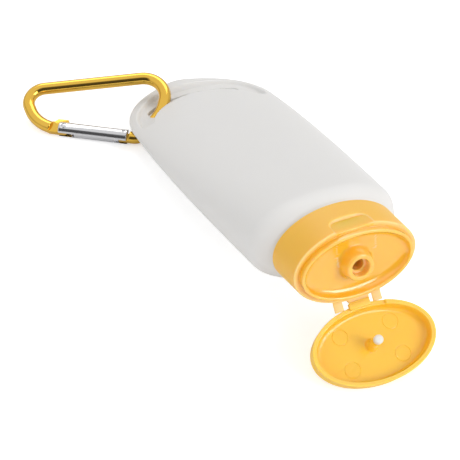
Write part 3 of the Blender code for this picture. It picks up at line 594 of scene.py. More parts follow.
def new_surface(name, inputs):
    return new_group(name, "ShaderNodeTree", inputs, (
        ("Colour", "Color"), ("Roughness", "Float"), ("Height", "Float")))


def finish_surface(nodes, links, **results):
    """Close a surface group with its colour, roughness and height."""
    sink = nodes.new("NodeGroupOutput")
    for label, result in results.items():
        links.new(result, sink.inputs[label])


def arithmetic(nodes, links, operation, *values):
    """A Math node fed with sockets or plain numbers."""
    node = nodes.new("ShaderNodeMath")
    node.operation = operation
    for socket, value in zip(node.inputs, values):
        if isinstance(value, (int, float)):
            socket.default_value = value
        else:
            links.new(value, socket)
    return node.outputs["Value"]


def mixed_colour(nodes, links, share, first, second):
    mix = nodes.new("ShaderNodeMix")
    mix.data_type = "RGBA"
    links.new(share, mix.inputs["Factor"])
    links.new(first, mix.inputs["A"])
    links.new(second, mix.inputs["B"])
    return mix.outputs["Result"]


def noise(nodes, links, vector, scale, detail):
    texture = nodes.new("ShaderNodeTexNoise")
    texture.inputs["Detail"].default_value = detail
    links.new(vector, texture.inputs["Vector"])
    links.new(scale, texture.inputs["Scale"])
    return texture.outputs["Fac"]


def mesh_value(nodes, label):
    """A node that reads what the mesh carries under this label."""
    reader = nodes.new("ShaderNodeAttribute")
    reader.attribute_name = label
    return reader


def surfaced_material(name, group, settings, carried, bump, grain):
    """A material whose colour, roughness and relief come from a shader group.

    carried names the mesh's value, and its kind, that feeds an input of the group; grain is the
    height of the relief in millimetres.
    """
    material, nodes, links = new_material(name)
    shader = nodes["Principled BSDF"]
    surface = nodes.new("ShaderNodeGroup")
    surface.node_tree = group
    set_inputs(surface, settings)
    for label, (value, kind) in carried.items():
        links.new(mesh_value(nodes, value).outputs[kind], surface.inputs[label])
    place = nodes.new("ShaderNodeTexCoord")
    relief = nodes.new("ShaderNodeBump")
    set_inputs(relief, {"Strength": bump, "Distance": grain * MM})
    join(links, (place, "Object", surface, "Vector"), (surface, "Colour", shader, "Base Color"),
         (surface, "Roughness", shader, "Roughness"), (surface, "Height", relief, "Height"),
         (relief, "Normal", shader, "Normal"))
    return material, nodes, links, shader


def moulded_group():
    """Moulded plastic: slow clouds in the colour, a paler painted light where the mesh carries it,
    fine grain, and polish.
    """
    group, nodes, links, source = new_surface("moulded_surface", (
        ("Vector", "Vector", (0, 0, 0)), ("Colour", "Color", (1, 1, 1, 1)),
        ("Cloud Colour", "Color", (1, 1, 1, 1)), ("Painted Light Colour", "Color", (1, 1, 1, 1)),
        ("Painted Light", "Float", 0.0), ("Cloud Scale", "Float", 40.0), ("Grain Scale", "Float", 2500.0),
        ("Polish", "Float", 0.0), ("Roughness", "Float", 0.4),
        ("Polished Roughness", "Float", 0.2), ("Roughness Spread", "Float", 0.05)))
    given = source.outputs
    cloud = noise(nodes, links, given["Vector"], given["Cloud Scale"], 3.0)
    grain = noise(nodes, links, given["Vector"], given["Grain Scale"], 2.0)
    body = mixed_colour(nodes, links, cloud, given["Colour"], given["Cloud Colour"])
    # Painted light: the paler colour stands for light through the plastic and for highlights
    colour = mixed_colour(nodes, links, given["Painted Light"], body, given["Painted Light Colour"])
    drop = arithmetic(nodes, links, "SUBTRACT", given["Polished Roughness"], given["Roughness"])
    level = arithmetic(nodes, links, "MULTIPLY_ADD", given["Polish"], drop, given["Roughness"])
    rough = arithmetic(nodes, links, "MULTIPLY_ADD", grain, given["Roughness Spread"], level)
    matt = arithmetic(nodes, links, "SUBTRACT", 1.0, given["Polish"])
    relief = arithmetic(nodes, links, "MULTIPLY", grain, matt)
    finish_surface(nodes, links, Colour=colour, Roughness=rough, Height=relief)
    return group


def moulded_material(name, colour, cloud_colour, painted_light_colour, roughness, polished=0.2, bump=0.08,
                     subsurface=0.3, radius=(1, 1, 1), depth=2.0, coat=0.0, specular=0.5):
    """A moulded plastic; depth is how far light spreads in it, in millimetres."""
    material, nodes, links, shader = surfaced_material(name, MOULDED, {
        "Colour": (*colour, 1), "Cloud Colour": (*cloud_colour, 1),
        "Painted Light Colour": (*painted_light_colour, 1), "Roughness": roughness, "Polished Roughness": polished,
    }, {"Polish": ("polish", "Fac"), "Painted Light": ("painted_light", "Fac")}, bump, MOULD_GRAIN)
    if coat:
        polish = mesh_value(nodes, "polish").outputs["Fac"]
        links.new(arithmetic(nodes, links, "MULTIPLY", polish, coat), shader.inputs["Coat Weight"])
    set_inputs(shader, {
        "Coat Roughness": 0.08, "Subsurface Weight": subsurface, "Subsurface Radius": radius,
        "Subsurface Scale": depth * MM, "Specular IOR Level": specular, "IOR": 1.5})
    return material


def metal_group():
    """Drawn metal: fine lines along the bar and a slow smudge in colour and roughness."""
    group, nodes, links, source = new_surface("drawn_metal", (
        ("Vector", "Vector", (0, 0, 0)), ("Drawn", "Vector", (0, 0, 0)),
        ("Colour", "Color", (1, 1, 1, 1)), ("Worn Colour", "Color", (1, 1, 1, 1)),
        ("Line Scale", "Float", 60.0), ("Smudge Scale", "Float", 120.0),
        ("Roughness", "Float", 0.2), ("Roughness Spread", "Float", 0.06)))
    given = source.outputs
    stretch = nodes.new("ShaderNodeMapping")
    stretch.inputs["Scale"].default_value = (0.02, 1.0, 1.0)
    links.new(given["Drawn"], stretch.inputs["Vector"])
    lines = noise(nodes, links, stretch.outputs["Vector"], given["Line Scale"], 3.0)
    smudge = noise(nodes, links, given["Vector"], given["Smudge Scale"], 3.0)
    colour = mixed_colour(nodes, links, smudge, given["Colour"], given["Worn Colour"])
    rough = arithmetic(nodes, links, "MULTIPLY_ADD", smudge, given["Roughness Spread"],
                       given["Roughness"])
    finish_surface(nodes, links, Colour=colour, Roughness=rough, Height=lines)
    return group


def metal_material(name, colour, worn_colour, roughness):
    material, nodes, links, shader = surfaced_material(name, DRAWN_METAL, {
        "Colour": (*colour, 1), "Worn Colour": (*worn_colour, 1), "Roughness": roughness,
    }, {"Drawn": ("drawn", "Vector")}, bump=0.05, grain=METAL_GRAIN)
    shader.inputs["Metallic"].default_value = 1.0
    return material


# Bottle

def shoulder(start, end, along):
    """A half size that swells from the cap's wall to the full shoulder."""
    t = (along - BODY_START) / SHOULDER_LENGTH
    return start + (end - start) * math.sin(math.pi / 2 * t) ** SHOULDER_ROUND


def body_half_width(y):
    """Half width of the outline at y, from the shoulder to the round end of the tail."""
    along = -y
    if along <= SHOULDER_END:
        return shoulder(CAP_HALF_WIDTH - CAP_WALL, SHOULDER_HALF_WIDTH, along)
    if along <= BELLY_DISTANCE:
        t = (along - SHOULDER_END) / (BELLY_DISTANCE - SHOULDER_END)
        return (SHOULDER_HALF_WIDTH
                + (BELLY_HALF_WIDTH - SHOULDER_HALF_WIDTH) * math.sin(math.pi / 2 * t))
    if along <= TAIL_START:
        t = (along - BELLY_DISTANCE) / (TAIL_START - BELLY_DISTANCE)
        return BELLY_HALF_WIDTH + (TAIL_HALF_WIDTH - BELLY_HALF_WIDTH) * t * t
    t = min((along - TAIL_START) / TAIL_DEPTH, 1.0)
    return TAIL_HALF_WIDTH * (1 - t ** TAIL_SQUARENESS) ** (1 / TAIL_SQUARENESS)


def body_half_thickness(y):
    """Half thickness at y: flush with the cap, then an even taper to the tail's round edge."""
    along = -y
    if along <= SHOULDER_END:
        return shoulder(CAP_HALF_DEPTH - CAP_WALL, SHOULDER_HALF_THICKNESS, along)
    t = (along - SHOULDER_END) / (BODY_LENGTH - SHOULDER_END)
    taper = SHOULDER_HALF_THICKNESS + (TAIL_HALF_THICKNESS - SHOULDER_HALF_THICKNESS) * t
    left = BODY_LENGTH - along
    if left >= TAIL_ROUND:
        return taper
    return taper * math.sqrt(max(1 - (1 - left / TAIL_ROUND) ** 2, 0))


def body_squareness(y):
    t = min(max((-y - BODY_START) / (BODY_LENGTH - BODY_START), 0), 1)
    return BODY_SQUARENESS + (EDGE_SQUARENESS - BODY_SQUARENESS) * t ** 3


def recess_share(x, y):
    """How far the skin sinks to the web at x, y: 0 on the body and the rim, 1 on the web."""
    half_width = TAIL_HALF_WIDTH - RIM_SIDE_WIDTH
    depth = TAIL_DEPTH - RIM_END_WIDTH
    into_tail = -TAIL_START - y
    down = max(into_tail, 0.0)
    reach = abs(x / half_width) ** RECESS_SQUARENESS + (down / depth) ** RECESS_SQUARENESS
    inside = (1 - reach ** (1 / RECESS_SQUARENESS)) * depth
    away = math.hypot(x, y - RECESS_CENTRE) - RECESS_RADIUS
    return (smooth_step(*RECESS_RIM, inside) * smooth_step(*RECESS_WALL, away)
            * smooth_step(*RECESS_TIP, into_tail))


def bottle_ring(y):
    loop = ring(body_half_width(y), body_half_thickness(y), y, BOTTLE_POINTS, body_squareness(y))
    for point in loop:
        share = recess_share(point.x, y)
        if share > 0 and abs(point.z) > WEB_HALF_THICKNESS:
            web = math.copysign(WEB_HALF_THICKNESS, point.z)
            point.z += (web - point.z) * share
    return loop


def slot_cutter():
    """The curved hang slot as (height, ease) levels: its edges are eased where it meets the web."""
    levels = [(-3.0, 0.28), (-0.72, 0.28), (-0.62, 0.1), (-0.4, 0.0), (0.4, 0.0), (0.62, 0.1),
              (0.72, 0.28), (3.0, 0.28)]
    end_x = SLOT_RADIUS * math.sin(SLOT_HALF_ANGLE)
    end_y = -SLOT_RADIUS * math.cos(SLOT_HALF_ANGLE)
    low, high = -math.pi / 2 - SLOT_HALF_ANGLE, -math.pi / 2 + SLOT_HALF_ANGLE
    rings = []
    for z, ease in levels:
        half = SLOT_WIDTH / 2 + ease
        outline = arc((0, 0), SLOT_RADIUS + half, low, high, 48)
        outline += arc((end_x, end_y), half, high, high + math.pi, 16)[1:-1]
        outline += arc((0, 0), SLOT_RADIUS - half, high, low, 48)
        outline += arc((-end_x, end_y), half, low + math.pi, low + 2 * math.pi, 16)[1:-1]
        rings.append([Vector((x, y + RECESS_CENTRE, z)) for x, y in outline])
    return loft("hang_slot", rings)


def make_bottle():
    """The neck from the inside out, then the body, whose last row stops just short of a point."""
    neck = [(NECK_BORE, HOLLOW_END), (NECK_BORE, HOLLOW_END / 2), (NECK_BORE, NECK_TOP - NECK_EASE),
            (NECK_BORE + NECK_EASE, NECK_TOP), (NECK_RADIUS, NECK_TOP),
            (NECK_RADIUS, NECK_FILLET - BODY_START), (NECK_RADIUS + NECK_FILLET, -BODY_START)]
    rings = [ring(radius, radius, y, BOTTLE_POINTS) for radius, y in neck]
    rings += [bottle_ring(-BODY_START - SHOULDER_LENGTH * (i / SHOULDER_ROWS) ** 1.6)
              for i in range(SHOULDER_ROWS)]
    near = -RECESS_CENTRE
    for start, end, rows in ((SHOULDER_END, near, 30), (near, TAIL_START, 26)):
        rings += [bottle_ring(-start - (end - start) * i / rows) for i in range(rows)]
    for i in range(TAIL_ROWS):
        reach = math.sin(math.pi / 2 * (i / (TAIL_ROWS + 0.3)) ** 0.8)
        rings.append(bottle_ring(-TAIL_START - TAIL_DEPTH * reach))
    mesh = combined(loft("bottle_shell", rings), slot_cutter(), "DIFFERENCE")
    add_piece("bottle_shell", mesh, TUBE, "tube", BOTTLE_PLASTIC, ("bottle",))


# Cap base

def oval_corner(inset, y, radius):
    return (CAP_HALF_WIDTH - inset, CAP_HALF_DEPTH - inset, y, radius)


def round_corner(radius, y, ease):
    return (radius, radius, y, ease)


def oval_reach(point, inset=0.0):
    """How far out a point lies: 1 on the cap's oval, drawn in by the inset."""
    return math.hypot(point.x / (CAP_HALF_WIDTH - inset), point.z / (CAP_HALF_DEPTH - inset))


def thumb_depth(point):
    """How far a point of the skirt lies inside the outline of the thumb scoop."""
    y = min(point.y, 0.0)
    across = abs((point.x - THUMB_X) / THUMB_HALF_WIDTH)
    reach = across ** THUMB_SQUARENESS + abs(y / THUMB_HEIGHT) ** THUMB_SQUARENESS
    return (1 - reach ** (1 / THUMB_SQUARENESS)) * THUMB_HEIGHT


def press_thumb_scoop(point):
    """Press the thumb scoop into a point of the skirt: a flat floor, open at the rim."""
    lip = min(max(1 + point.y / THUMB_LIP, 0.0), 1.0)
    floor = THUMB_FLOOR - THUMB_LIP * (1 - math.sqrt(1 - lip * lip))
    if point.z > floor:
        point.z += (floor - point.z) * smooth_step(*THUMB_EDGE, thumb_depth(point))


def with_scoop_rows(path):
    """Close rows of points on the skirt, where the thumb scoop is pressed in."""
    rows = []
    for here, after in zip(path, path[1:]):
        rows.append(here)
        low = -THUMB_HEIGHT - 1.0
        if here[2] < low and after[2] > -1.0:
            for i in range(THUMB_ROWS):
                y = low + (after[2] - low) * i / THUMB_ROWS
                rows.append(here.lerp(after, (y - here[2]) / (after[2] - here[2])))
    return rows + [path[-1]]


def hinge_tab(name, side):
    """Half of the living hinge: a short tab from the rim's back to the fold line."""
    near, far = side * SEAT_GAP / 2, side * (SEAT_GAP / 2 + TAB_THICKNESS)
    tab = box(name, (-TAB_HALF_WIDTH, min(near, far), HINGE_Z),
              (TAB_HALF_WIDTH, max(near, far), -(CAP_HALF_DEPTH - CAP_WALL * 0.8)))
    return bevelled(tab, HINGE_EDGE)


def inside_rim(point):
    """1 inside the cap's rim, where the mould is polished, and 0 on its matt skirt."""
    reach = oval_reach(point, POLISH_INSET)
    deck = 2.0 if reach < 0.7 else 0.0
    return smooth_step(1.03, 0.99, reach) * smooth_step(-0.4, -0.1, point.y + deck)


def painted_light_edges(point):
    """Painted light on the cap as a paler colour: a painted highlight of 1 at its rim and the
    scoop's outline, and less on the lip, the nozzle and in the dim bore.
    """
    reach = oval_reach(point)
    rim = (smooth_step(-0.5, -0.2, point.y) * smooth_step(0.2, 0.05, point.y)
           * smooth_step(0.95, 0.97, reach))
    top = smooth_step(LIP_HEIGHT - 0.6, LIP_HEIGHT - 0.1, point.y)
    bore = smooth_step(BORE_RADIUS + 0.1, BORE_RADIUS, math.hypot(point.x, point.z))
    scoop = 0
    if point.z > 0 and point.y < 0:
        scoop = smooth_step(0.2, 0.05, abs(thumb_depth(point) - 0.05))
    return max(rim, scoop, top * (LIP_PAINTED_LIGHT if reach > 0.6 else NOZZLE_PAINTED_LIGHT), BORE_PAINTED_LIGHT * bore)


def make_cap_base():
    points = 480
    lip_inner = LIP_OUTER + LIP_WIDTH
    under = -DECK_DROP - DECK_WALL
    corners = [
        oval_corner(CAP_WALL - SKIRT_FLARE, -SKIRT_HEIGHT, 0),
        oval_corner(-SKIRT_FLARE, -SKIRT_HEIGHT, 0.25),
        oval_corner(0, 0, 0.35),
        oval_corner(LIP_OUTER, 0, 0.12),
        oval_corner(LIP_OUTER + 0.08, LIP_HEIGHT, 0.38),
        oval_corner(lip_inner, LIP_HEIGHT - 0.05, 0.3),
        oval_corner(lip_inner + 0.75, 0.1, COVE),
        (CAP_HALF_WIDTH * 0.5, MOAT_RADIUS + 0.7, -DECK_DROP * 0.8, 1.6),
        round_corner(NOZZLE_FOOT_RADIUS, -DECK_DROP, 1.0),
        round_corner(NOZZLE_RADIUS, NOZZLE_HEIGHT, 0.75),
        round_corner(BORE_RADIUS, NOZZLE_HEIGHT - 0.1, 0.35),
        round_corner(BORE_RADIUS - 0.15, ORIFICE_TOP, 0.25),
        round_corner(ORIFICE_RADIUS, ORIFICE_TOP - 0.15, 0.15),
        round_corner(ORIFICE_RADIUS, ORIFICE_END, 0),
        round_corner(ORIFICE_RADIUS + 0.9, ORIFICE_END, 0),
        round_corner(ORIFICE_RADIUS + 0.9, under, 0.3),
        round_corner(NECK_BORE - 1.0, under, 0.3),
        round_corner(NECK_BORE - 0.8, under - 2.7, 0),
        round_corner(NECK_BORE - 0.1, under - 2.5, 0),
        round_corner(NECK_BORE - 0.1, under, 0),
        (CAP_HALF_WIDTH - CAP_WALL, CAP_HALF_DEPTH - CAP_WALL, under - 0.2, 0),
    ]
    rings = [ring(a, b, y, points) for a, b, y in with_scoop_rows(softened(corners))]
    for loop in rings:
        for point in loop:
            press_thumb_scoop(point)
    mesh = combined(loft("cap_base_skin", rings, closed=True), hinge_tab("base_tab", -1), "UNION")
    marked(mesh, "polish", inside_rim)
    # Painted light: a paler colour on the rim, the scoop's outline, the lip, the nozzle and the
    # bore
    marked(mesh, "painted_light", painted_light_edges)
    add_piece("cap_base_skin", mesh, TUBE, "tube", CAP_PLASTIC, ("cap_base", "cap_nozzle"))


# Lid

def lid_corner(inset, y, radius):
    draft = LID_DRAFT * max(y, 0) / LID_HEIGHT
    return oval_corner(inset + draft, y, radius)


def lower_hinge_rim(point):
    """Lower the lid's rim behind the tab, which leaves a notch where each strap passes."""
    if point.z < -CAP_HALF_DEPTH / 2 and point.y < LID_KNEE:
        share = smooth_step(NOTCH_HALF_WIDTH + 0.2, NOTCH_HALF_WIDTH, abs(point.x))
        point.y += NOTCH_DEPTH * share * min(1.0, (LID_KNEE - point.y) / NOTCH_RISE)


def inside_lid(point):
    """1 on the lid's polished inside, and 0 on its matt outside."""
    inside = smooth_step(1.02, 0.98, oval_reach(point, POLISH_INSET))
    return inside * (point.y < LID_FLOOR + 0.5)


def painted_light_rim(point):
    """Painted light on the lid, a paler colour for light through its rim and its hinge tab and for
    the rim's highlight; none elsewhere.
    """
    low = SEAT_GAP + (NOTCH_DEPTH if abs(point.x) < NOTCH_HALF_WIDTH and point.z < 0 else 0)
    rim = smooth_step(low + 0.7, low + 0.3, point.y)
    return LID_RIM_PAINTED_LIGHT * rim * (oval_reach(point) > 0.85)


def make_lid():
    points = 384
    pin_end = LID_FLOOR - PIN_LENGTH + PIN_TIP_LENGTH
    corners = [
        lid_corner(LID_EDGE * 3, LID_HEIGHT, 0),
        lid_corner(0, LID_HEIGHT, LID_EDGE),
        lid_corner(0, LID_KNEE, 0),
        lid_corner(0, SEAT_GAP, 0.3),
        lid_corner(0.55, SEAT_GAP, 0.06),
        lid_corner(0.65, SEAT_GAP + 0.12, 0.06),
        lid_corner(CAP_WALL, SEAT_GAP + 0.12, 0.2),
        lid_corner(CAP_WALL + 0.03, LID_KNEE, 0),
        lid_corner(CAP_WALL + 0.1, LID_FLOOR, 2.2),
        round_corner(PIN_RADIUS + 0.5, LID_FLOOR, 0.5),
        round_corner(PIN_RADIUS, LID_FLOOR - 1.4, 0.4),
        round_corner(PIN_RADIUS, pin_end, 0.1),
        round_corner(SPIGOT_RADIUS, pin_end, 0),
        round_corner(SPIGOT_RADIUS, pin_end - SPIGOT_LENGTH, 0),
    ]
    rings = [ring(a, b, y, points) for a, b, y in softened(corners)]
    for loop in rings:
        for point in loop:
            lower_hinge_rim(point)
    marks = grown("ejector_marks", EJECTOR_MARKS, None, {
        "Spacing X": 2 * EJECTOR_X, "Spacing Y": 2 * EJECTOR_Z, "Ring Radius": EJECTOR_RADIUS,
        "Groove Radius": EJECTOR_GROOVE, "Finish": LID_PLASTIC})
    marks.transform(Matrix.Translation((0, LID_FLOOR, 0)) @ SPIN_TO_CAP)
    mesh = combined(loft("lid_skin", rings), hinge_tab("lid_tab", 1), "UNION")
    mesh = combined(mesh, marks, "DIFFERENCE")
    marked(mesh, "polish", inside_lid)
    # Painted light: a paler colour on the lid's rim and hinge tab
    marked(mesh, "painted_light", painted_light_rim)
    add_piece("lid_skin", mesh, LID, "lid", LID_PLASTIC, ("lid",))
    make_pin_tip(LID_FLOOR - PIN_LENGTH, pin_end - 0.08)


def make_pin_tip(nose, top):
    """The soft white tip pressed on the pin's spigot."""
    sleeve = SPIGOT_RADIUS + 0.05
    profile = [(0.3, nose), (PIN_RADIUS - 0.45, nose + 0.03), (PIN_RADIUS - 0.24, nose + 0.12),
               (PIN_RADIUS - 0.08, nose + 0.27), (PIN_RADIUS, nose + 0.48),
               (PIN_RADIUS, nose + 0.55), (PIN_RADIUS, top - 0.12), (PIN_RADIUS - 0.03, top - 0.04),
               (PIN_RADIUS - 0.1, top), (sleeve, top), (sleeve, top - SPIGOT_LENGTH)]
    add_piece("lid_pin_nose", turned("lid_pin_nose", profile), LID @ SPIN_TO_CAP, "lid",
              PIN_PLASTIC, ("lid_pin_tip",))


# Living hinge

def make_straps():
    """Two thin bands beside the tabs, from the skirt to the lid's wall."""
    back = HINGE_Z + CAP_HALF_DEPTH * math.sqrt(1 - (STRAP_INNER_X / CAP_HALF_WIDTH) ** 2)
    turn = Matrix.Rotation(-LID_OPEN_ANGLE, 2)
    skirt_side = [Vector((STRAP_FOOT, -back + STRAP_SEAT)), Vector(STRAP_KNEE)]
    lid_side = [turn @ Vector((-p.x, p.y)) for p in reversed(skirt_side)]
    path = filleted([(*skirt_side[0], 0), (*skirt_side[1], STRAP_BEND),
                     (*lid_side[0], STRAP_BEND), (*lid_side[1], 0)], 10)
    half = STRAP_THICKNESS / 2
    inside, outside = [], []
    for before, here, after in zip(path[:1] + path, path, path[1:] + path[-1:]):
        along = (after - before).normalized()
        side = Vector((-along.y, along.x)) * half
        inside.append(tuple(here - side))
        outside.append(tuple(here + side))
    stand = Matrix(((0, 0, 1, 0), (1, 0, 0, 0), (0, 1, 0, HINGE_Z), (0, 0, 0, 1)))
    for name, side in (("hinge_strap_left", 1), ("hinge_strap_right", -1)):
        edges = sorted((side * STRAP_INNER_X, side * (STRAP_INNER_X + STRAP_WIDTH)))
        mesh = bevelled(plate(name + "_band", inside + outside[::-1], *edges), HINGE_EDGE, 3, 50)
        ends = [TUBE @ Vector((side * STRAP_INNER_X, p.x, p.y + HINGE_Z))
                for p in (skirt_side[1], lid_side[0])]
        add_piece(name + "_band", mesh, TUBE @ stand, ends, STRAP_PLASTIC, (name,))


def make_fold():
    """The thin web of the living hinge, on the fold line between the two tabs."""
    reach = TAB_HALF_WIDTH - 0.1
    line = bpy.data.meshes.new("fold_line")
    line.from_pydata([(-reach, 0, HINGE_Z), (reach, 0, HINGE_Z)], [(0, 1)], [])
    mesh = grown("hinge_fold", ROUND_BAR, line,
                 {"Radius": FOLD_RADIUS, "Sides": 16, "Finish": CAP_PLASTIC})
    add_piece("hinge_fold", mesh, TUBE, "tube", CAP_PLASTIC)


# Snap hook

def milled(name, outline):
    """A flat tongue of this outline, in the middle of the rod."""
    tongue = plate(name, outline, -TONGUE_THICKNESS / 2, TONGUE_THICKNESS / 2)
    return bevelled(tongue, TONGUE_EDGE)


def pivot_tongue():
    """The rod's end milled thin: round about the rivet, with an ear on the inner side."""
    outline = [(-TONGUE_START, -TONGUE_RADIUS)]
    outline += arc((0, 0), TONGUE_RADIUS, -math.pi / 2, math.radians(50), 24)
    outline += [(EAR_REACH, TONGUE_RADIUS), (EAR_REACH, EAR_HEIGHT), (-EAR_START, EAR_HEIGHT),
                (-EAR_START - 1.0, TONGUE_RADIUS + 0.2), (-TONGUE_START, TONGUE_RADIUS)]
    return milled("pivot_tongue", outline)


def nose_tongue():
    """The rod's other end milled thin, with the notch that the latch pin drops into."""
    notch = LATCH_PIN_RADIUS + 0.2
    return milled("nose_tongue", [
        (NOSE_START, NOSE_LOW), (NOSE_START, NOSE_LIP), (LATCH_PIN_X + notch, NOSE_LIP),
        (LATCH_PIN_X + notch, NOTCH_FLOOR), (LATCH_PIN_X - notch, NOTCH_FLOOR),
        (LATCH_PIN_X - notch, NOSE_LIP), (NOSE_END + 0.2, NOSE_LIP),
        (NOSE_END, NOSE_LIP - 0.3), (NOSE_END, NOSE_LOW)])


def make_hook():
    path = filleted(ROD_CORNERS)
    line = bpy.data.meshes.new("rod_line")
    line.from_pydata([(p.x, p.y, 0) for p in path], [(i, i + 1) for i in range(len(path) - 1)], [])
    mesh = grown("hook_rod", ROUND_BAR, line,
                 {"Radius": ROD_RADIUS, "Spacing": 0.3, "Sides": 64, "Finish": GOLD})
    mesh = bevelled(mesh, ROD_EDGE, 4, 60)
    for tongue in (pivot_tongue(), nose_tongue()):
        mesh = combined(mesh, tongue, "UNION")
    rivet_hole = cylinder("rivet_hole", RIVET_RADIUS + HOOK_RIVET_FIT, (0, 0, -3), (0, 0, 3))
    add_piece("hook_rod", combined(mesh, rivet_hole, "DIFFERENCE"), HOOK, "hook", GOLD,
              ("carabiner_hook",))


def make_gate():
    """A round bar, slotted at both ends, bored for its spring and dimpled for its rivet."""
    profile = []
    guard = GATE_EDGE * 1.2
    for end, inward in ((-GATE_OVERHANG, 1), (GATE_LENGTH, -1)):
        edge = [(GATE_RADIUS - GATE_EDGE * (1 - math.cos(angle)),
                 end + inward * GATE_EDGE * (1 - math.sin(angle)))
                for angle in (math.pi / 2 * i / 6 for i in range(7))]
        edge += [(GATE_RADIUS, end + inward * guard), (GATE_RADIUS - guard, end)]
        profile += sorted(edge, key=lambda step: (step[1], step[0] * inward))
    mesh = turned("gate_bar", profile, 96)
    mesh.transform(SPIN_TO_X)
    half = TONGUE_THICKNESS / 2 + SLOT_CLEARANCE
    reach = 2 * GATE_RADIUS
    latch_slot = GATE_LENGTH - LATCH_SLOT_LENGTH
    cutters = [box("pivot_slot", (-reach, -reach, -half), (PIVOT_SLOT_LENGTH, reach, half)),
               box("latch_slot", (latch_slot, -reach, -half), (GATE_LENGTH + reach, reach, half)),
               cylinder("latch_pin_hole", LATCH_PIN_RADIUS + LATCH_PIN_FIT,
                        (LATCH_PIN_X, LATCH_PIN_Y, -reach), (LATCH_PIN_X, LATCH_PIN_Y, reach)),
               cylinder("rivet_hole", RIVET_RADIUS + RIVET_FIT, (0, 0, -reach), (0, 0, reach)),
               cylinder("gate_bore", GATE_BORE_RADIUS, (PIVOT_SLOT_LENGTH - 1.0, 0, 0),
                        (GATE_BORE_END, 0, 0))]
    seat = GATE_RADIUS - DIMPLE_DEPTH
    cutters += [cylinder("rivet_dimple", DIMPLE_RADIUS, (0, 0, side * seat), (0, 0, side * reach))
                for side in (-1, 1)]
    for cutter in cutters:
        mesh = combined(mesh, cutter, "DIFFERENCE")
    add_piece("gate_bar", bevelled(mesh, GATE_CUT_EDGE, 2), HOOK, "gate", BRIGHT,
              ("carabiner_gate",), sharp=50)
    make_gate_hardware()


def make_gate_hardware():
    """The rivet, the latch pin, and the sprung pusher that bears on the hook's tongue."""
    seat = GATE_RADIUS - DIMPLE_DEPTH
    head = [(0.15, seat + 0.2), (0.5, seat + 0.17), (0.74, seat + 0.1), (0.8, seat + 0.04),
            (0.8, seat + 0.01), (RIVET_RADIUS, seat + 0.01)]
    rivet = [(radius, -height) for radius, height in head] + head[::-1]
    reach = math.sqrt(GATE_RADIUS ** 2 - (LATCH_PIN_Y + LATCH_PIN_RADIUS) ** 2)
    latch = [(LATCH_PIN_RADIUS - 0.1, -reach), (LATCH_PIN_RADIUS, 0.1 - reach),
             (LATCH_PIN_RADIUS, reach - 0.1), (LATCH_PIN_RADIUS - 0.1, reach)]
    pusher = [(0.3, PUSHER_START), (PUSHER_RADIUS - 0.2, PUSHER_START + 0.03),
              (PUSHER_RADIUS, PUSHER_START + 0.25), (PUSHER_RADIUS, PUSHER_NECK_END),
              (PUSHER_HEAD_RADIUS, PUSHER_NECK_END + 0.05), (PUSHER_HEAD_RADIUS, PUSHER_END - 0.05),
              (PUSHER_HEAD_RADIUS - 0.1, PUSHER_END)]
    coil = grown("gate_coil", WIRE_COIL, None, {
        "Turns": float(SPRING_TURNS), "Coil Radius": SPRING_RADIUS,
        "Length": SPRING_END - SPRING_START, "Radius": SPRING_WIRE_RADIUS, "Finish": STEEL})
    coil.transform(Matrix.Translation((0, 0, SPRING_START)))
    latch_place = HOOK @ Matrix.Translation((LATCH_PIN_X, LATCH_PIN_Y, 0))
    for name, profile, sides, place, solid in (
            ("rivet_domed", rivet, 48, HOOK, "gate_rivet"),
            ("latch_cross_pin", latch, 32, latch_place, "gate_latch_pin"),
            ("pusher_plunger", pusher, 32, HOOK @ SPIN_TO_X, "gate_pusher")):
        add_piece(name, turned(name, profile, sides), place, "gate", STEEL, (solid,))
    add_piece("pusher_coil", coil, HOOK @ SPIN_TO_X, "gate", STEEL, ("gate_spring",))


# Camera, floor and light

def make_camera():
    """The photograph's view."""
    data = bpy.data.cameras.new("camera")
    data.lens = CAMERA_LENS
    data.sensor_width = 36.0
    data.clip_start = 0.01
    data.clip_end = 20.0
    camera = placed_object("camera", data)
    camera.location = TUBE.translation + Vector(CAMERA_FROM_RIM) * MM
    camera.rotation_euler = [math.radians(angle) for angle in CAMERA_TURN]
    bpy.context.scene.camera = camera


def make_floor():
    """A wide white floor that keeps the object's shadow."""
    bm = bmesh.new()
    bmesh.ops.create_grid(bm, x_segments=1, y_segments=1, size=3.0)
    floor = placed_object("floor", mesh_from_bmesh("floor", bm))
    floor.location.z = -FLOOR_DROP * MM
    material, nodes, links = new_material("white_floor")
    shader = nodes["Principled BSDF"]
    set_inputs(shader, {"Base Color": (0.9, 0.9, 0.9, 1), "Roughness": 0.9,
                        "Specular IOR Level": 0.0, "Emission Color": (1, 1, 1, 1)})
    path = nodes.new("ShaderNodeLightPath").outputs
    mirrored = arithmetic(nodes, links, "MULTIPLY", path["Is Glossy Ray"], FLOOR_MIRRORED_GLOW)
    glow = arithmetic(nodes, links, "MULTIPLY_ADD", path["Is Camera Ray"], FLOOR_GLOW, mirrored)
    links.new(glow, shader.inputs["Emission Strength"])
    floor.data.materials.append(material)


def faded(nodes, links, value, low, high):
    """0 below low and 1 above high, or the other way round where low is the larger."""
    node = nodes.new("ShaderNodeMapRange")
    node.interpolation_type = "SMOOTHSTEP"
    set_inputs(node, {"From Min": low, "From Max": high})
    links.new(value, node.inputs["Value"])
    return node.outputs["Result"]


def vector_step(nodes, links, operation, value, other=(0, 0, 0)):
    """A Vector Math node fed with a socket and a plain vector."""
    node = nodes.new("ShaderNodeVectorMath")
    node.operation = operation
    links.new(value, node.inputs[0])
    node.inputs[1].default_value = other
    return node.outputs


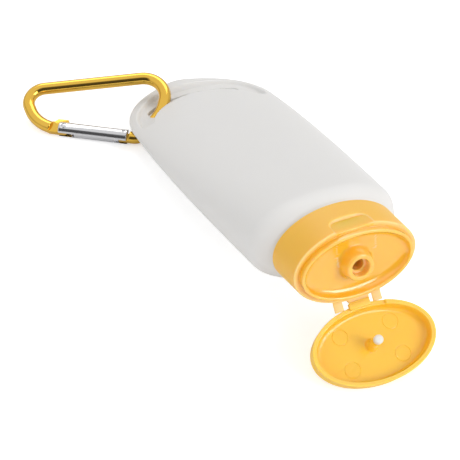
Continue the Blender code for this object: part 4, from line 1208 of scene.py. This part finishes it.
def make_world():
    """A white studio; only reflections show its greyer horizon and its dark screen."""
    world = bpy.data.worlds.new("studio")
    world.use_nodes = True
    nodes, links = world.node_tree.nodes, world.node_tree.links
    background = nodes["Background"]
    background.inputs["Color"].default_value = (1, 1, 1, 1)
    way = nodes.new("ShaderNodeTexCoord").outputs["Generated"]
    split = nodes.new("ShaderNodeSeparateXYZ")
    links.new(way, split.inputs["Vector"])
    height = split.outputs["Z"]
    flat = vector_step(nodes, links, "MULTIPLY", way, (1, 1, 0))["Vector"]
    heading = vector_step(nodes, links, "NORMALIZE", flat)["Vector"]
    across = vector_step(nodes, links, "DOT_PRODUCT", heading, SCREEN_SIDE)["Value"]
    side = faded(nodes, links, across, *SCREEN_EDGE)
    tall = arithmetic(nodes, links, "MULTIPLY", faded(nodes, links, height, *SCREEN_FOOT),
                      faded(nodes, links, height, *SCREEN_TOP))
    screen = arithmetic(nodes, links, "MULTIPLY", side, tall)
    sky = arithmetic(nodes, links, "MULTIPLY_ADD", faded(nodes, links, height, *HORIZON_FADE),
                     1.0 - HORIZON_LEVEL, HORIZON_LEVEL)
    shade = arithmetic(nodes, links, "MULTIPLY_ADD", screen, DARK_LEVEL - 1.0, 1.0)
    shown = arithmetic(nodes, links, "MULTIPLY", sky, shade)
    change = arithmetic(nodes, links, "SUBTRACT", shown, AMBIENT)
    path = nodes.new("ShaderNodeLightPath").outputs
    level = arithmetic(nodes, links, "MULTIPLY_ADD", change, path["Is Glossy Ray"], AMBIENT)
    links.new(arithmetic(nodes, links, "MAXIMUM", level, path["Is Camera Ray"]),
              background.inputs["Strength"])
    bpy.context.scene.world = world


def area_light(name, direction, distance, size, power, mirrored=True):
    """A soft box turned to the object, seen in reflections where it is mirrored.

    Its distance and its size, across and up, are in metres.
    """
    data = bpy.data.lights.new(name, "AREA")
    data.shape = "RECTANGLE"
    data.size, data.size_y = size
    data.energy = power
    light = placed_object(name, data)
    light.location = Vector(direction).normalized() * distance
    light.rotation_euler = light.location.to_track_quat("Z", "Y").to_euler()
    light.visible_glossy = mirrored


ROUND_BAR = round_bar_tree()
WIRE_COIL = coil_tree()
EJECTOR_MARKS = marks_tree()
MOULDED = moulded_group()
DRAWN_METAL = metal_group()
# Each plastic's third colour is its painted light, shown where its mesh carries painted light
BOTTLE_PLASTIC = moulded_material(
    "bottle_plastic", (0.77, 0.76, 0.745), (0.755, 0.745, 0.73), (0.80, 0.79, 0.775), 0.42,
    radius=(1.0, 0.95, 0.85))
CAP_PLASTIC = moulded_material(
    "cap_plastic", (0.96, 0.50, 0.03), (0.955, 0.485, 0.025), (0.97, 0.62, 0.23), 0.42, 0.14, 0.04,
    subsurface=0.6, radius=(1.0, 0.6, 0.1), coat=1.0, specular=0.8)
# Painted light: the lid is the cap's plastic made paler and yellower, where the lid looks brighter
LID_PLASTIC = moulded_material(
    "lid_plastic", (0.96, 0.58, 0.05), (0.955, 0.565, 0.04), (0.97, 0.64, 0.20), 0.42, 0.2, 0.04,
    subsurface=0.6, radius=(1.0, 0.7, 0.1), coat=0.3, specular=0.6)
PIN_PLASTIC = moulded_material(
    "pin_plastic", (0.80, 0.78, 0.73), (0.78, 0.76, 0.71), (0.8, 0.78, 0.74), 0.35)
# Painted light: the straps' paler colour stands for light through the narrow bands
STRAP_PLASTIC = moulded_material(
    "strap_plastic", (0.92, 0.61, 0.22), (0.91, 0.59, 0.20), (0.92, 0.62, 0.24), 0.3,
    subsurface=0.4, radius=(1.0, 0.6, 0.2), depth=1.0)
GOLD = metal_material("gold_anodised", (0.77, 0.475, 0.08), (0.74, 0.45, 0.07), 0.10)
BRIGHT = metal_material("bright_aluminium", (0.62, 0.62, 0.63), (0.59, 0.59, 0.61), 0.16)
STEEL = metal_material("plain_steel", (0.62, 0.62, 0.64), (0.58, 0.58, 0.60), 0.25)

make_camera()
make_world()
make_floor()
area_light("key_softbox", (-0.42, 0.77, 0.45), 0.9, (0.5, 0.5), 3.6)
area_light("back_softbox", (-0.36, -0.58, 0.73), 0.8, (0.8, 0.42), 1.8)
area_light("fill_softbox", (0.75, 0.35, 0.55), 0.9, (0.7, 0.7), 1.6, mirrored=False)

make_bottle()
make_cap_base()
make_lid()
make_straps()
make_fold()
make_hook()
make_gate()

bpy.context.scene.view_settings.view_transform = "Standard"
